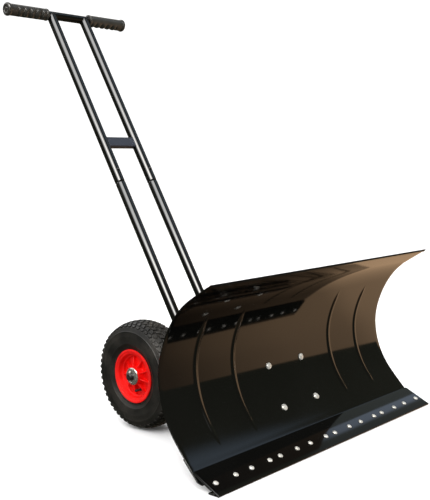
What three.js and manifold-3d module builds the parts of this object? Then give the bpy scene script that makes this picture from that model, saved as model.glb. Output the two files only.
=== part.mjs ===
// Wheeled snow shovel: a curved blade that swivels on a two-wheeled push frame.
// Millimetres, +Z up. X runs along the blade and the axle, the blade faces -Y, and the handle leans
// back towards +Y. "left" is the -X side. The origin ends up under the middle of the whole object.
import * as THREE from 'three';
import { mergeVertices } from 'three/addons/utils/BufferGeometryUtils.js';
import Module from 'manifold-3d';

const wasm = await Module();
wasm.setup();

// ---------------------------------------------------------------- driving dimensions

const GAP = 0.3; // air between pieces that touch on the real object

// blade: seen from the end, an arc that runs out straight at both ends, then a flatter foot
const BLADE_WIDTH = 740;
const SHEET_THICKNESS = 2;
const BLADE_ARC_RADIUS = 179;
const BLADE_ARC_Y = -170;
const BLADE_ARC_Z = 190;
const BLADE_ARC_TOP = 60; // degrees above the horizontal through the arc's centre
const BLADE_ARC_BOTTOM = -42;
const BLADE_ARC_STEPS = 17;
const BLADE_HEIGHT = 374.5;
const HEM_LENGTH = 10;
const CREASE_Z = 30.2; // where the sheet bends flatter for the wear strip
const FOOT_SLOPE = 25.5; // degrees below the horizontal
const SHEET_FOOT = 50.7; // sheet beyond the crease

// wear strip: a plate on the foot, folded back along the ground
const STRIP_THICKNESS = 3;
const STRIP_START = 1.5; // below the crease
const STRIP_LIP_END_Y = -112;
const STRIP_BOLT_DOWN = 42.6; // from the crease to the row of bolts
const STRIP_BOLT_STEPS = [53.7, 44, 53.7, 32]; // spacing along the strip, repeated
const STRIP_BOLT_COUNT = 16;
const STRIP_BOLT_RADIUS = 3;
const STRIP_BOLT_HEAD = 5.2;
const STRIP_BOLT_TAIL = 5; // behind the sheet

// stiffener folded across the back of the crease
const STIFFENER_THICKNESS = 2.5;
const STIFFENER_TOP_Z = 52;
const STIFFENER_CORNER_Z = 14.6;
const STIFFENER_END = [-98, 12.1];

// pivot bracket on the back of the blade, held by four carriage bolts
const BRACKET_THICKNESS = 4;
const BRACKET_WIDTH = 150;
const BRACKET_LOW_Z = 54;
const BRACKET_HIGH_Z = 173;
const CENTRE_BOLT_X = 56;
const CENTRE_BOLT_Z = [72, 155];
const CENTRE_BOLT_RADIUS = 4;
const CENTRE_BOLT_HEAD = 7.5;
const CENTRE_BOLT_TAIL = 16;

// vertical pivot between the blade and the draw bar
const PIVOT_Y = 62;
const PIVOT_BOLT_RADIUS = 6;
const BARREL_RADIUS = 15;
const BARREL_LOW_Z = 108.6;
const BARREL_HIGH_Z = 141.4;
const EAR_THICKNESS = 4;
const EAR_RADIUS = 22;
const EAR_WIDTH = 70;
const SECTOR_WIDTH = 90;
const SECTOR_RADIUS = 90;
const SECTOR_HALF_ANGLE = 45;
const SLOT_RADIUS = 70;
const SLOT_HALF_WIDTH = 5.7;
const SLOT_HALF_ANGLE = 30.4;
const CLAMP_BOLT_RADIUS = 5;
const CLAMP_BOLT_HEAD = 12;
const CLAMP_BOLT_TOP_Z = 166;
const KNOB_RADIUS = 20;
const KNOB_LOBE = 2.6;
const KNOB_LOBES = 6;
const KNOB_LOW_Z = 146.2;
const KNOB_HEIGHT = 26;

// frame: axle tube, draw bar and the cross member that carries the handle
const AXLE_Y = 272;
const WHEEL_RADIUS = 122;
const AXLE_Z = WHEEL_RADIUS;
const AXLE_RADIUS = 8;
const AXLE_HALF_LENGTH = 222;
const AXLE_TUBE_RADIUS = 12.7;
const AXLE_TUBE_BORE = 8.6;
const AXLE_TUBE_HALF_LENGTH = 118;
const DRAW_BAR_WIDTH = 40;
const DRAW_BAR_LOW_Z = 110;
const DRAW_BAR_HIGH_Z = 140;
const DRAW_BAR_WALL = 2.5;
const CROSS_MEMBER_Y = 249;
const CROSS_MEMBER_LENGTH = 148;
const CROSS_MEMBER_DEPTH = 30;
const CROSS_MEMBER_HEIGHT = 20;
const CROSS_MEMBER_WALL = 2;

// handle: two tubes that slide over the swaged necks of the two lower tubes and click in place
const HANDLE_SPACING = 107;
const BAR_Y = 736;
const BAR_Z = 996.5;
const JOINT_Y = 477;
const JOINT_Z = 552;
const TUBE_RADIUS = 12.4;
const TUBE_BORE = 11.1;
const NECK_RADIUS = 10.8;
const NECK_BORE = 9.3;
const NECK_TAPER = 4;
const TUBE_OVERLAP = 90;
const COPE_DEPTH = 3.2; // the upper tubes end this far short of the crossbar's axis
const CROSSBAR_HALF_LENGTH = 187;
const CROSSBAR_RADIUS = 11;
const CROSSBAR_BORE = 9.3;
const GRIP_START = 68;
const GRIP_END = 192;
const GRIP_RADIUS = 16;
const GRIP_END_THICKNESS = 4;
const BRACE_ABOVE_JOINT = 115.5;
const BRACE_HEIGHT = 28;
const BRACE_DEPTH = 14;
const BRACE_WALL = 1.5;
const BUTTON_ABOVE_JOINT = 31;
const BUTTON_RADIUS = 3.5;
const BUTTON_PROUD = 3;
const BUTTON_LENGTH = 7;

// wheels: pneumatic tyre on a plastic rim that turns on a bush
const WHEEL_X = 174;
const WHEEL_STEPS = 32;
const HUB_BORE = 10.5;
const HUB_RADIUS = 19;
const HUB_INNER_END = -30;
const HUB_OUTER_END = 36;
const BUSH_RADIUS = 10.1;
const BUSH_BORE = 8.35;
const VALVE_RADIUS = 3;
const VALVE_FROM_AXLE = 33;
const VALVE_ANGLE = 12; // degrees towards the front, from straight down
const SPACER_RADIUS = 11;
const COTTER_X = 217.5;
const COTTER_RADIUS = 1.5;

const FINISHES = {
  black_paint: { color: 0x0b0b0c, roughness: 0.22, metalness: 0.2 },
  slate_paint: { color: 0x2c2f38, roughness: 0.4, metalness: 0.2 },
  zinc: { color: 0xd9d6cc, roughness: 0.35, metalness: 0.9 },
  dark_steel: { color: 0x4a4a4c, roughness: 0.45, metalness: 0.9 },
  tyre_rubber: { color: 0x201f1e, roughness: 0.85, metalness: 0 },
  red_plastic: { color: 0xe0140a, roughness: 0.35, metalness: 0 },
  black_plastic: { color: 0x161616, roughness: 0.5, metalness: 0 },
  bearing_bronze: { color: 0xb08d57, roughness: 0.4, metalness: 0.8 },
  grip_rubber: { color: 0x3e3b35, roughness: 0.7, metalness: 0 },
};

// ---------------------------------------------------------------- helpers

const radians = THREE.MathUtils.degToRad;
const AXIS_X = new THREE.Vector3(1, 0, 0);
const AXIS_Y = new THREE.Vector3(0, 1, 0);
const AXIS_Z = new THREE.Vector3(0, 0, 1);
const assembly = new THREE.Group();

function addPart(name, geometry, finish) {
  const mesh = new THREE.Mesh(geometry, new THREE.MeshStandardMaterial(FINISHES[finish]));
  mesh.name = name;
  assembly.add(mesh);
  return mesh;
}

function toSolid(geometry) {
  const bare = geometry.clone();
  bare.deleteAttribute('normal');
  bare.deleteAttribute('uv');
  const merged = mergeVertices(bare, 1e-3);
  const mesh = new wasm.Mesh({
    numProp: 3,
    vertProperties: new Float32Array(merged.attributes.position.array),
    triVerts: new Uint32Array(merged.index.array),
  });
  return new wasm.Manifold(mesh);
}

function toGeometry(solid) {
  const mesh = solid.getMesh();
  const geometry = new THREE.BufferGeometry();
  geometry.setAttribute('position', new THREE.BufferAttribute(mesh.vertProperties, 3));
  geometry.setIndex(new THREE.BufferAttribute(mesh.triVerts, 1));
  geometry.computeVertexNormals();
  return geometry;
}

function cutAway(geometry, cutters) {
  let solid = toSolid(geometry);
  for (const cutter of cutters) {
    solid = solid.subtract(toSolid(cutter));
  }
  return toGeometry(solid);
}

function joined(geometries) {
  let solid = toSolid(geometries[0]);
  for (const other of geometries.slice(1)) {
    solid = solid.add(toSolid(other));
  }
  return toGeometry(solid);
}

function circleShape(radius, steps, ShapeClass = THREE.Shape) {
  const shape = new ShapeClass();
  for (let i = 0; i < steps; i += 1) {
    const angle = (i / steps) * 2 * Math.PI;
    const x = radius * Math.cos(angle);
    const y = radius * Math.sin(angle);
    if (i === 0) {
      shape.moveTo(x, y);
    } else {
      shape.lineTo(x, y);
    }
  }
  shape.closePath();
  return shape;
}

function extrude(shape, depth) {
  return new THREE.ExtrudeGeometry(shape, { depth, bevelEnabled: false, steps: 1, curveSegments: 12 });
}

// turns a geometry built along +Z so that it starts at one point and runs along a direction
function aim(geometry, start, direction) {
  const turn = new THREE.Quaternion().setFromUnitVectors(AXIS_Z, direction.clone().normalize());
  return geometry.applyQuaternion(turn).translate(start.x, start.y, start.z);
}

function rod(radius, start, end, steps = 20) {
  const along = end.clone().sub(start);
  return aim(extrude(circleShape(radius, steps), along.length()), start, along);
}

// a closed [radius, along] profile turned about a direction
function turnedAlong(profile, start, direction, steps = 20) {
  const points = [...profile, profile[0]].map(([radius, along]) => new THREE.Vector2(radius, along));
  return aim(new THREE.LatheGeometry(points, steps).rotateX(Math.PI / 2), start, direction);
}

function pipe(radius, bore, start, end, steps = 20) {
  const shape = circleShape(radius, steps);
  shape.holes.push(circleShape(bore, steps, THREE.Path));
  const along = end.clone().sub(start);
  return aim(extrude(shape, along.length()), start, along);
}

// a closed outline given as [y, z] points, extruded along X about a centre
function alongX(outline, length, centreX = 0) {
  const shape = new THREE.Shape(outline.map(([y, z]) => new THREE.Vector2(y, z)));
  const basis = new THREE.Matrix4().makeBasis(AXIS_Y, AXIS_Z, AXIS_X);
  return extrude(shape, length).applyMatrix4(basis).translate(centreX - length / 2, 0, 0);
}

function box(sizeX, sizeY, sizeZ, x, y, z) {
  return new THREE.BoxGeometry(sizeX, sizeY, sizeZ).translate(x, y, z);
}

// a closed [radius, along] profile turned about X, starting at an X position and running to `facing`
function turned(profile, x, facing, y = AXLE_Y, z = AXLE_Z, steps = WHEEL_STEPS) {
  const points = profile.map(([radius, along]) => new THREE.Vector2(radius, along));
  points.push(points[0].clone());
  const geometry = new THREE.LatheGeometry(points, steps);
  geometry.rotateZ(-Math.PI / 2);
  if (facing < 0) {
    geometry.rotateZ(Math.PI);
  }
  return geometry.translate(x, y, z);
}

// the band between two offsets of a path of [y, z] points, as a closed outline
function band(path, inner, outer) {
  const normals = path.map((point, i) => {
    const before = path[Math.max(i - 1, 0)];
    const after = path[Math.min(i + 1, path.length - 1)];
    const first = unit([point[0] - before[0], point[1] - before[1]]);
    const second = unit([after[0] - point[0], after[1] - point[1]]);
    const a = i === 0 ? second : first;
    const b = i === path.length - 1 ? first : second;
    const bisector = unit([a[0] + b[0], a[1] + b[1]]);
    const stretch = 1 / (bisector[0] * a[0] + bisector[1] * a[1]);
    return [-bisector[1] * stretch, bisector[0] * stretch];
  });
  const side = (offset) => path.map(([y, z], i) => [y + normals[i][0] * offset, z + normals[i][1] * offset]);
  return [...side(inner), ...side(outer).reverse()];
}

function unit([y, z]) {
  const length = Math.hypot(y, z);
  return length === 0 ? [0, 0] : [y / length, z / length];
}

const vec = (x, y, z) => new THREE.Vector3(x, y, z);
const sides = [['left', -1], ['right', 1]];

// ---------------------------------------------------------------- blade section

// The front line of the sheet runs from the top edge down to the crease. Walking down it, a positive
// band() offset lies behind the blade and a negative one lies in front.
function arcPoint(degrees) {
  const angle = radians(degrees);
  return [BLADE_ARC_Y + BLADE_ARC_RADIUS * Math.cos(angle), BLADE_ARC_Z + BLADE_ARC_RADIUS * Math.sin(angle)];
}

function alongLine([y, z], degrees, targetZ) {
  const angle = radians(degrees);
  return [y - ((targetZ - z) / Math.cos(angle)) * Math.sin(angle), targetZ];
}

const bladeTop = alongLine(arcPoint(BLADE_ARC_TOP), BLADE_ARC_TOP, BLADE_HEIGHT);
const crease = alongLine(arcPoint(BLADE_ARC_BOTTOM), BLADE_ARC_BOTTOM, CREASE_Z);
const footAngle = radians(FOOT_SLOPE);

// a point on the foot: distance down from the crease, and height off the sheet's front
function footPoint(down, off) {
  return [
    crease[0] - down * Math.cos(footAngle) - off * Math.sin(footAngle),
    crease[1] - down * Math.sin(footAngle) + off * Math.cos(footAngle),
  ];
}

function frontLine(highZ = BLADE_HEIGHT, lowZ = CREASE_Z) {
  const points = [bladeTop];
  for (let i = 0; i <= BLADE_ARC_STEPS; i += 1) {
    const share = i / BLADE_ARC_STEPS;
    points.push(arcPoint(BLADE_ARC_TOP + (BLADE_ARC_BOTTOM - BLADE_ARC_TOP) * share));
  }
  points.push(crease);
  const inside = points.filter(([, z]) => z < highZ - 1 && z > lowZ + 1);
  return [frontPoint(highZ), ...inside, frontPoint(lowZ)];
}

// the point of the front line at a height, and the outward normal of the sheet's front there
function frontPoint(z) {
  const high = arcPoint(BLADE_ARC_TOP);
  const low = arcPoint(BLADE_ARC_BOTTOM);
  if (z >= high[1]) {
    return alongLine(high, BLADE_ARC_TOP, z);
  }
  if (z <= low[1]) {
    return alongLine(low, BLADE_ARC_BOTTOM, z);
  }
  return arcPoint(THREE.MathUtils.radToDeg(Math.asin((z - BLADE_ARC_Z) / BLADE_ARC_RADIUS)));
}

function frontNormal(z) {
  const height = THREE.MathUtils.clamp(z, arcPoint(BLADE_ARC_BOTTOM)[1], arcPoint(BLADE_ARC_TOP)[1]);
  const angle = Math.asin((height - BLADE_ARC_Z) / BLADE_ARC_RADIUS);
  return vec(0, -Math.cos(angle), -Math.sin(angle));
}

// a carriage bolt: low domed head on a surface, shank running back through it
function carriageBolt(place, outward, headRadius, shankRadius, shankLength, steps = 12) {
  const domeHeight = headRadius * 0.45;
  const rim = headRadius * 0.12;
  const dome = [];
  const domeSteps = 2;
  for (let i = 1; i < domeSteps; i += 1) {
    const angle = (i / domeSteps) * (Math.PI / 2);
    dome.push([headRadius * Math.cos(angle), rim + domeHeight * Math.sin(angle)]);
  }
  const profile = [[0, -shankLength], [shankRadius, -shankLength], [shankRadius, 0], [headRadius, 0]];
  profile.push([headRadius, rim], ...dome, [0, rim + domeHeight]);
  const points = profile.map(([radius, height]) => new THREE.Vector2(radius, height));
  const bolt = new THREE.LatheGeometry(points, steps).rotateX(Math.PI / 2);
  return aim(bolt, place, outward);
}

// ---------------------------------------------------------------- blade and its fasteners

const stripBoltX = [];
{
  let reach = 0;
  for (let i = 0; i < STRIP_BOLT_COUNT; i += 1) {
    stripBoltX.push(reach);
    reach += STRIP_BOLT_STEPS[i % STRIP_BOLT_STEPS.length];
  }
  const middle = stripBoltX[STRIP_BOLT_COUNT - 1] / 2;
  stripBoltX.forEach((x, i) => {
    stripBoltX[i] = x - middle;
  });
}
const footOutward = vec(0, -Math.sin(footAngle), Math.cos(footAngle));

function stripBoltPlace(x, off) {
  const [y, z] = footPoint(STRIP_BOLT_DOWN, off);
  return vec(x, y, z);
}

function stripHoles() {
  return stripBoltX.map((x) => rod(
    STRIP_BOLT_RADIUS + GAP,
    stripBoltPlace(x, -20),
    stripBoltPlace(x, 20),
    8,
  ));
}

const centreBolts = [];
for (const z of CENTRE_BOLT_Z) {
  for (const side of [-1, 1]) {
    const [y] = frontPoint(z);
    centreBolts.push({ place: vec(side * CENTRE_BOLT_X, y, z), outward: frontNormal(z) });
  }
}

function centreHoles() {
  return centreBolts.map(({ place, outward }) => rod(
    CENTRE_BOLT_RADIUS + GAP,
    place.clone().addScaledVector(outward, -20),
    place.clone().addScaledVector(outward, 20),
    10,
  ));
}

function makeBlade() {
  const sheetLine = [...frontLine(), footPoint(SHEET_FOOT, 0)];
  const sheet = alongX(band(sheetLine, 0, SHEET_THICKNESS), BLADE_WIDTH);
  const hemLine = [bladeTop, alongLine(bladeTop, BLADE_ARC_TOP, BLADE_HEIGHT - HEM_LENGTH / 2)];
  const hem = alongX(band(hemLine, -SHEET_THICKNESS, SHEET_THICKNESS / 2), BLADE_WIDTH - 12);
  addPart('blade_sheet', cutAway(joined([sheet, hem]), [...stripHoles(), ...centreHoles()]), 'black_paint');

  const stripFront = GAP + STRIP_THICKNESS;
  // the front edge is cut square and its lower corner stands on the ground
  const edgeHeight = STRIP_THICKNESS * Math.cos(footAngle);
  const edgeDown = (crease[1] + stripFront * Math.cos(footAngle) - edgeHeight) / Math.sin(footAngle);
  const insideDown = (crease[1] + GAP * Math.cos(footAngle) - STRIP_THICKNESS) / Math.sin(footAngle);
  const strip = [
    footPoint(STRIP_START, stripFront),
    footPoint(edgeDown, stripFront),
    footPoint(edgeDown, GAP),
    [STRIP_LIP_END_Y, 0],
    [STRIP_LIP_END_Y, STRIP_THICKNESS],
    footPoint(insideDown, GAP),
    footPoint(STRIP_START, GAP),
  ];
  addPart('wear_strip', cutAway(alongX(strip, BLADE_WIDTH), stripHoles()), 'black_paint');

  const legOffset = SHEET_THICKNESS + GAP + STIFFENER_THICKNESS / 2;
  const legNormal = frontNormal(STIFFENER_TOP_Z);
  const legTop = frontPoint(STIFFENER_TOP_Z);
  const legStart = [legTop[0] - legNormal.y * legOffset, legTop[1] - legNormal.z * legOffset];
  const stiffenerLine = [
    legStart,
    alongLine(legStart, BLADE_ARC_BOTTOM, STIFFENER_CORNER_Z),
    STIFFENER_END,
  ];
  const half = STIFFENER_THICKNESS / 2;
  addPart('lower_stiffener', alongX(band(stiffenerLine, -half, half), BLADE_WIDTH), 'black_paint');

  stripBoltX.forEach((x, i) => {
    const length = STRIP_THICKNESS + SHEET_THICKNESS + 2 * GAP + STRIP_BOLT_TAIL;
    const place = stripBoltPlace(x, stripFront + GAP);
    const bolt = carriageBolt(place, footOutward, STRIP_BOLT_HEAD, STRIP_BOLT_RADIUS, length, 8);
    addPart(`strip_bolt_${String(i + 1).padStart(2, '0')}`, bolt, 'zinc');
  });
}

function makePivotBracket() {
  const near = SHEET_THICKNESS + GAP;
  const far = near + BRACKET_THICKNESS;
  const plate = alongX(band(frontLine(BRACKET_HIGH_Z, BRACKET_LOW_Z), near, far), BRACKET_WIDTH);
  addPart('pivot_bracket', cutAway(plate, centreHoles()), 'black_paint');

  const names = ['lower_left', 'lower_right', 'upper_left', 'upper_right'];
  centreBolts.forEach(({ place, outward }, i) => {
    const start = place.clone().addScaledVector(outward, 2 * GAP); // the head bridges the hollow sheet
    const bolt = carriageBolt(start, outward, CENTRE_BOLT_HEAD, CENTRE_BOLT_RADIUS, CENTRE_BOLT_TAIL);
    addPart(`centre_bolt_${names[i]}`, bolt, 'zinc');
  });

  // rear face of the bracket at a height, where the two horizontal plates are welded on
  const rearY = (z) => BLADE_ARC_Y + Math.sqrt((BLADE_ARC_RADIUS + far) ** 2 - (z - BLADE_ARC_Z) ** 2) + GAP;
  const sectorLow = BARREL_HIGH_Z + GAP;
  const earTop = BARREL_LOW_Z - GAP;
  addPart('sector_plate', sectorPlate(rearY(sectorLow + EAR_THICKNESS), sectorLow), 'black_paint');
  addPart('pivot_ear', pivotEar(rearY(earTop), earTop - EAR_THICKNESS), 'black_paint');
}

// a flat plate outlined in X and Y, from one height up
function flatPlate(shape, lowZ) {
  return extrude(shape, EAR_THICKNESS).translate(0, 0, lowZ);
}

function arcPoints(radius, fromDegrees, toDegrees, steps, centre = [0, PIVOT_Y]) {
  const points = [];
  for (let i = 0; i <= steps; i += 1) {
    const angle = radians(fromDegrees + ((toDegrees - fromDegrees) * i) / steps);
    points.push(new THREE.Vector2(centre[0] + radius * Math.sin(angle), centre[1] + radius * Math.cos(angle)));
  }
  return points;
}

function pivotHole() {
  return new THREE.Path(arcPoints(PIVOT_BOLT_RADIUS + GAP, 0, 345, 23));
}

function sectorPlate(frontY, lowZ) {
  const outline = [
    new THREE.Vector2(-SECTOR_WIDTH / 2, frontY),
    ...arcPoints(SECTOR_RADIUS, -SECTOR_HALF_ANGLE, SECTOR_HALF_ANGLE, 14),
    new THREE.Vector2(SECTOR_WIDTH / 2, frontY),
  ];
  const shape = new THREE.Shape(outline.reverse());
  const endCentre = (side) => [
    SLOT_RADIUS * Math.sin(side * radians(SLOT_HALF_ANGLE)),
    PIVOT_Y + SLOT_RADIUS * Math.cos(radians(SLOT_HALF_ANGLE)),
  ];
  const slot = [
    ...arcPoints(SLOT_RADIUS + SLOT_HALF_WIDTH, -SLOT_HALF_ANGLE, SLOT_HALF_ANGLE, 12),
    ...arcPoints(SLOT_HALF_WIDTH, SLOT_HALF_ANGLE + 30, SLOT_HALF_ANGLE + 150, 4, endCentre(1)),
    ...arcPoints(SLOT_RADIUS - SLOT_HALF_WIDTH, SLOT_HALF_ANGLE, -SLOT_HALF_ANGLE, 12),
    ...arcPoints(SLOT_HALF_WIDTH, 210 - SLOT_HALF_ANGLE, 330 - SLOT_HALF_ANGLE, 4, endCentre(-1)),
  ];
  shape.holes.push(new THREE.Path(slot), pivotHole());
  return flatPlate(shape, lowZ);
}

function pivotEar(frontY, lowZ) {
  const outline = [
    new THREE.Vector2(-EAR_WIDTH / 2, frontY),
    ...arcPoints(EAR_RADIUS, -80, 80, 10),
    new THREE.Vector2(EAR_WIDTH / 2, frontY),
  ];
  const shape = new THREE.Shape(outline.reverse());
  shape.holes.push(pivotHole());
  return flatPlate(shape, lowZ);
}

// ---------------------------------------------------------------- pivot and clamp

function hexagon(acrossFlats) {
  return circleShape(acrossFlats / Math.sqrt(3), 6);
}

function makePivot() {
  const earLow = BARREL_LOW_Z - GAP - EAR_THICKNESS;
  const sectorTop = BARREL_HIGH_Z + GAP + EAR_THICKNESS;
  const headHeight = 7.5;
  const nutHeight = 10;
  const acrossFlats = 19;
  const headLow = earLow - GAP - headHeight;
  const head = extrude(hexagon(acrossFlats), headHeight).translate(0, PIVOT_Y, headLow);
  const shankTop = sectorTop + GAP + nutHeight + 2;
  const shank = rod(PIVOT_BOLT_RADIUS, vec(0, PIVOT_Y, headLow + 1), vec(0, PIVOT_Y, shankTop));
  addPart('pivot_bolt', joined([head, shank]), 'zinc');

  const nutShape = hexagon(acrossFlats);
  nutShape.holes.push(circleShape(PIVOT_BOLT_RADIUS + GAP, 20, THREE.Path));
  addPart('pivot_nut', extrude(nutShape, nutHeight).translate(0, PIVOT_Y, sectorTop + GAP), 'zinc');

  const low = vec(0, PIVOT_Y, BARREL_LOW_Z);
  const high = vec(0, PIVOT_Y, BARREL_HIGH_Z);
  addPart('pivot_barrel', pipe(BARREL_RADIUS, PIVOT_BOLT_RADIUS + 0.4, low, high), 'black_paint');
}

function makeClamp() {
  const y = PIVOT_Y + SLOT_RADIUS;
  const place = vec(0, y, DRAW_BAR_LOW_Z - GAP);
  const length = CLAMP_BOLT_TOP_Z - place.z;
  const bolt = carriageBolt(place, vec(0, 0, -1), CLAMP_BOLT_HEAD, CLAMP_BOLT_RADIUS, length, 16);
  addPart('clamp_bolt', bolt, 'zinc');

  const lobed = new THREE.Shape();
  const steps = KNOB_LOBES * 8;
  for (let i = 0; i < steps; i += 1) {
    const angle = (i / steps) * 2 * Math.PI;
    const radius = KNOB_RADIUS + KNOB_LOBE * Math.cos(KNOB_LOBES * angle);
    const point = [radius * Math.cos(angle), radius * Math.sin(angle)];
    if (i === 0) {
      lobed.moveTo(...point);
    } else {
      lobed.lineTo(...point);
    }
  }
  lobed.closePath();
  const neckHeight = 10;
  const neckRadius = 11;
  const head = extrude(lobed, KNOB_HEIGHT - neckHeight).translate(0, y, KNOB_LOW_Z + neckHeight);
  const neck = rod(neckRadius, vec(0, y, KNOB_LOW_Z), vec(0, y, KNOB_LOW_Z + neckHeight + 2));
  const bore = rod(CLAMP_BOLT_RADIUS + 0.35, vec(0, y, KNOB_LOW_Z - 1), vec(0, y, CLAMP_BOLT_TOP_Z + 1));
  addPart('clamp_knob', cutAway(joined([head, neck]), [bore]), 'black_plastic');
}

// ---------------------------------------------------------------- frame

function rectangularPipe(width, height, wall, length) {
  const corner = (w, h) => [[-w / 2, -h / 2], [w / 2, -h / 2], [w / 2, h / 2], [-w / 2, h / 2]];
  const toPoints = (list) => list.map(([x, y]) => new THREE.Vector2(x, y));
  const shape = new THREE.Shape(toPoints(corner(width, height)));
  shape.holes.push(new THREE.Path(toPoints(corner(width - 2 * wall, height - 2 * wall))));
  return extrude(shape, length);
}

function makeFrame() {
  const axleEnd = (x) => vec(x, AXLE_Y, AXLE_Z);
  const tubeEnd = AXLE_TUBE_HALF_LENGTH;
  addPart(
    'axle_tube',
    pipe(AXLE_TUBE_RADIUS, AXLE_TUBE_BORE, axleEnd(-tubeEnd), axleEnd(tubeEnd)),
    'black_paint',
  );

  const cotterHole = (side) => rod(
    COTTER_RADIUS + GAP,
    vec(side * COTTER_X, AXLE_Y, AXLE_Z - 20),
    vec(side * COTTER_X, AXLE_Y, AXLE_Z + 20),
    8,
  );
  const axle = rod(AXLE_RADIUS, axleEnd(-AXLE_HALF_LENGTH), axleEnd(AXLE_HALF_LENGTH), 24);
  addPart('axle', cutAway(axle, [cotterHole(-1), cotterHole(1)]), 'dark_steel');

  const barHeight = DRAW_BAR_HIGH_Z - DRAW_BAR_LOW_Z;
  const barMiddle = (DRAW_BAR_HIGH_Z + DRAW_BAR_LOW_Z) / 2;
  const bar = rectangularPipe(DRAW_BAR_WIDTH, barHeight, DRAW_BAR_WALL, AXLE_Y - PIVOT_Y);
  bar.rotateX(-Math.PI / 2).translate(0, PIVOT_Y, barMiddle);
  const clampY = PIVOT_Y + SLOT_RADIUS;
  const cutters = [
    rod(BARREL_RADIUS + GAP, vec(0, PIVOT_Y, 50), vec(0, PIVOT_Y, 200), 24),
    rod(AXLE_TUBE_RADIUS + GAP, axleEnd(-60), axleEnd(60), 24),
    rod(CLAMP_BOLT_RADIUS + 0.4, vec(0, clampY, 50), vec(0, clampY, 200), 16),
  ];
  addPart('draw_bar', cutAway(bar, cutters), 'black_paint');

  const member = rectangularPipe(
    CROSS_MEMBER_HEIGHT,
    CROSS_MEMBER_DEPTH,
    CROSS_MEMBER_WALL,
    CROSS_MEMBER_LENGTH,
  );
  const memberZ = DRAW_BAR_HIGH_Z + GAP + CROSS_MEMBER_HEIGHT / 2;
  member.rotateY(Math.PI / 2).translate(-CROSS_MEMBER_LENGTH / 2, CROSS_MEMBER_Y, memberZ);
  addPart('cross_member', member, 'black_paint');
}

// ---------------------------------------------------------------- handle

const handleAlong = vec(0, BAR_Y - JOINT_Y, BAR_Z - JOINT_Z).normalize();
const handleFront = vec(0, -handleAlong.z, handleAlong.y);

function handlePoint(x, fromJoint) {
  return vec(x, JOINT_Y, JOINT_Z).addScaledVector(handleAlong, fromJoint);
}

function makeHandle() {
  const barDistance = vec(0, BAR_Y - JOINT_Y, BAR_Z - JOINT_Z).length();
  const footZ = DRAW_BAR_HIGH_Z + 2 * GAP + CROSS_MEMBER_HEIGHT;
  const footReach = (JOINT_Z - footZ) / handleAlong.z + 20;
  const barCut = rod(CROSSBAR_RADIUS + GAP, vec(-100, BAR_Y, BAR_Z), vec(100, BAR_Y, BAR_Z), 24);
  const floorCut = box(400, 200, 100, 0, CROSS_MEMBER_Y, footZ - 50);

  for (const [side, sign] of sides) {
    const x = (sign * HANDLE_SPACING) / 2;
    const buttonHole = rod(
      BUTTON_RADIUS + GAP,
      handlePoint(x, BUTTON_ABOVE_JOINT),
      handlePoint(x, BUTTON_ABOVE_JOINT).addScaledVector(handleFront, 30),
      12,
    );
    const swaged = [
      [TUBE_BORE, -footReach],
      [TUBE_RADIUS, -footReach],
      [TUBE_RADIUS, -NECK_TAPER - GAP],
      [NECK_RADIUS, -GAP],
      [NECK_RADIUS, TUBE_OVERLAP],
      [NECK_BORE, TUBE_OVERLAP],
      [NECK_BORE, -GAP],
      [TUBE_BORE, -NECK_TAPER - GAP],
    ];
    const lower = turnedAlong(swaged, handlePoint(x, 0), handleAlong);
    addPart(`lower_tube_${side}`, cutAway(lower, [floorCut, buttonHole]), 'black_paint');

    const upperEnd = handlePoint(x, barDistance - COPE_DEPTH);
    const upper = pipe(TUBE_RADIUS, TUBE_BORE, handlePoint(x, 0), upperEnd);
    addPart(`upper_tube_${side}`, cutAway(upper, [barCut, buttonHole]), 'black_paint');

    const buttonTip = TUBE_RADIUS + BUTTON_PROUD;
    const inner = handlePoint(x, BUTTON_ABOVE_JOINT).addScaledVector(handleFront, buttonTip - BUTTON_LENGTH);
    const domed = [
      [0, 0],
      [BUTTON_RADIUS, 0],
      [BUTTON_RADIUS, BUTTON_LENGTH - 2],
      [BUTTON_RADIUS * 0.75, BUTTON_LENGTH - 0.6],
      [0, BUTTON_LENGTH],
    ];
    const points = domed.map(([radius, height]) => new THREE.Vector2(radius, height));
    const button = new THREE.LatheGeometry(points, 12).rotateX(Math.PI / 2);
    addPart(`snap_button_${side}`, aim(button, inner, handleFront), 'dark_steel');
  }

  const barEnd = (x) => vec(x, BAR_Y, BAR_Z);
  const crossbar = pipe(
    CROSSBAR_RADIUS,
    CROSSBAR_BORE,
    barEnd(-CROSSBAR_HALF_LENGTH),
    barEnd(CROSSBAR_HALF_LENGTH),
  );
  addPart('crossbar', crossbar, 'black_paint');

  const brace = rectangularPipe(BRACE_DEPTH, BRACE_HEIGHT, BRACE_WALL, HANDLE_SPACING);
  const braceBasis = new THREE.Matrix4().makeBasis(handleFront.clone().negate(), handleAlong, AXIS_X);
  const braceStart = handlePoint(-HANDLE_SPACING / 2, BRACE_ABOVE_JOINT);
  brace.applyMatrix4(braceBasis).translate(braceStart.x, braceStart.y, braceStart.z);
  const tubeCuts = sides.map(([, sign]) => {
    const x = (sign * HANDLE_SPACING) / 2;
    return rod(TUBE_RADIUS + GAP, handlePoint(x, 50), handlePoint(x, 200), 24);
  });
  addPart('cross_brace', cutAway(brace, tubeCuts), 'slate_paint');

  const gripLength = GRIP_END - GRIP_START;
  const bore = CROSSBAR_RADIUS + 0.4;
  const gripProfile = [
    [bore, 0],
    [GRIP_RADIUS - 1, 0],
    [GRIP_RADIUS, 2],
    [GRIP_RADIUS, gripLength - 4],
    [GRIP_RADIUS - 3, gripLength],
    [0, gripLength],
    [0, gripLength - GRIP_END_THICKNESS],
    [bore, gripLength - GRIP_END_THICKNESS],
  ];
  for (const [side, sign] of sides) {
    const grip = turned(gripProfile, sign * GRIP_START, sign, BAR_Y, BAR_Z, 20);
    addPart(`grip_${side}`, grip, 'grip_rubber');
  }
}

// ---------------------------------------------------------------- wheels

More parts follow.
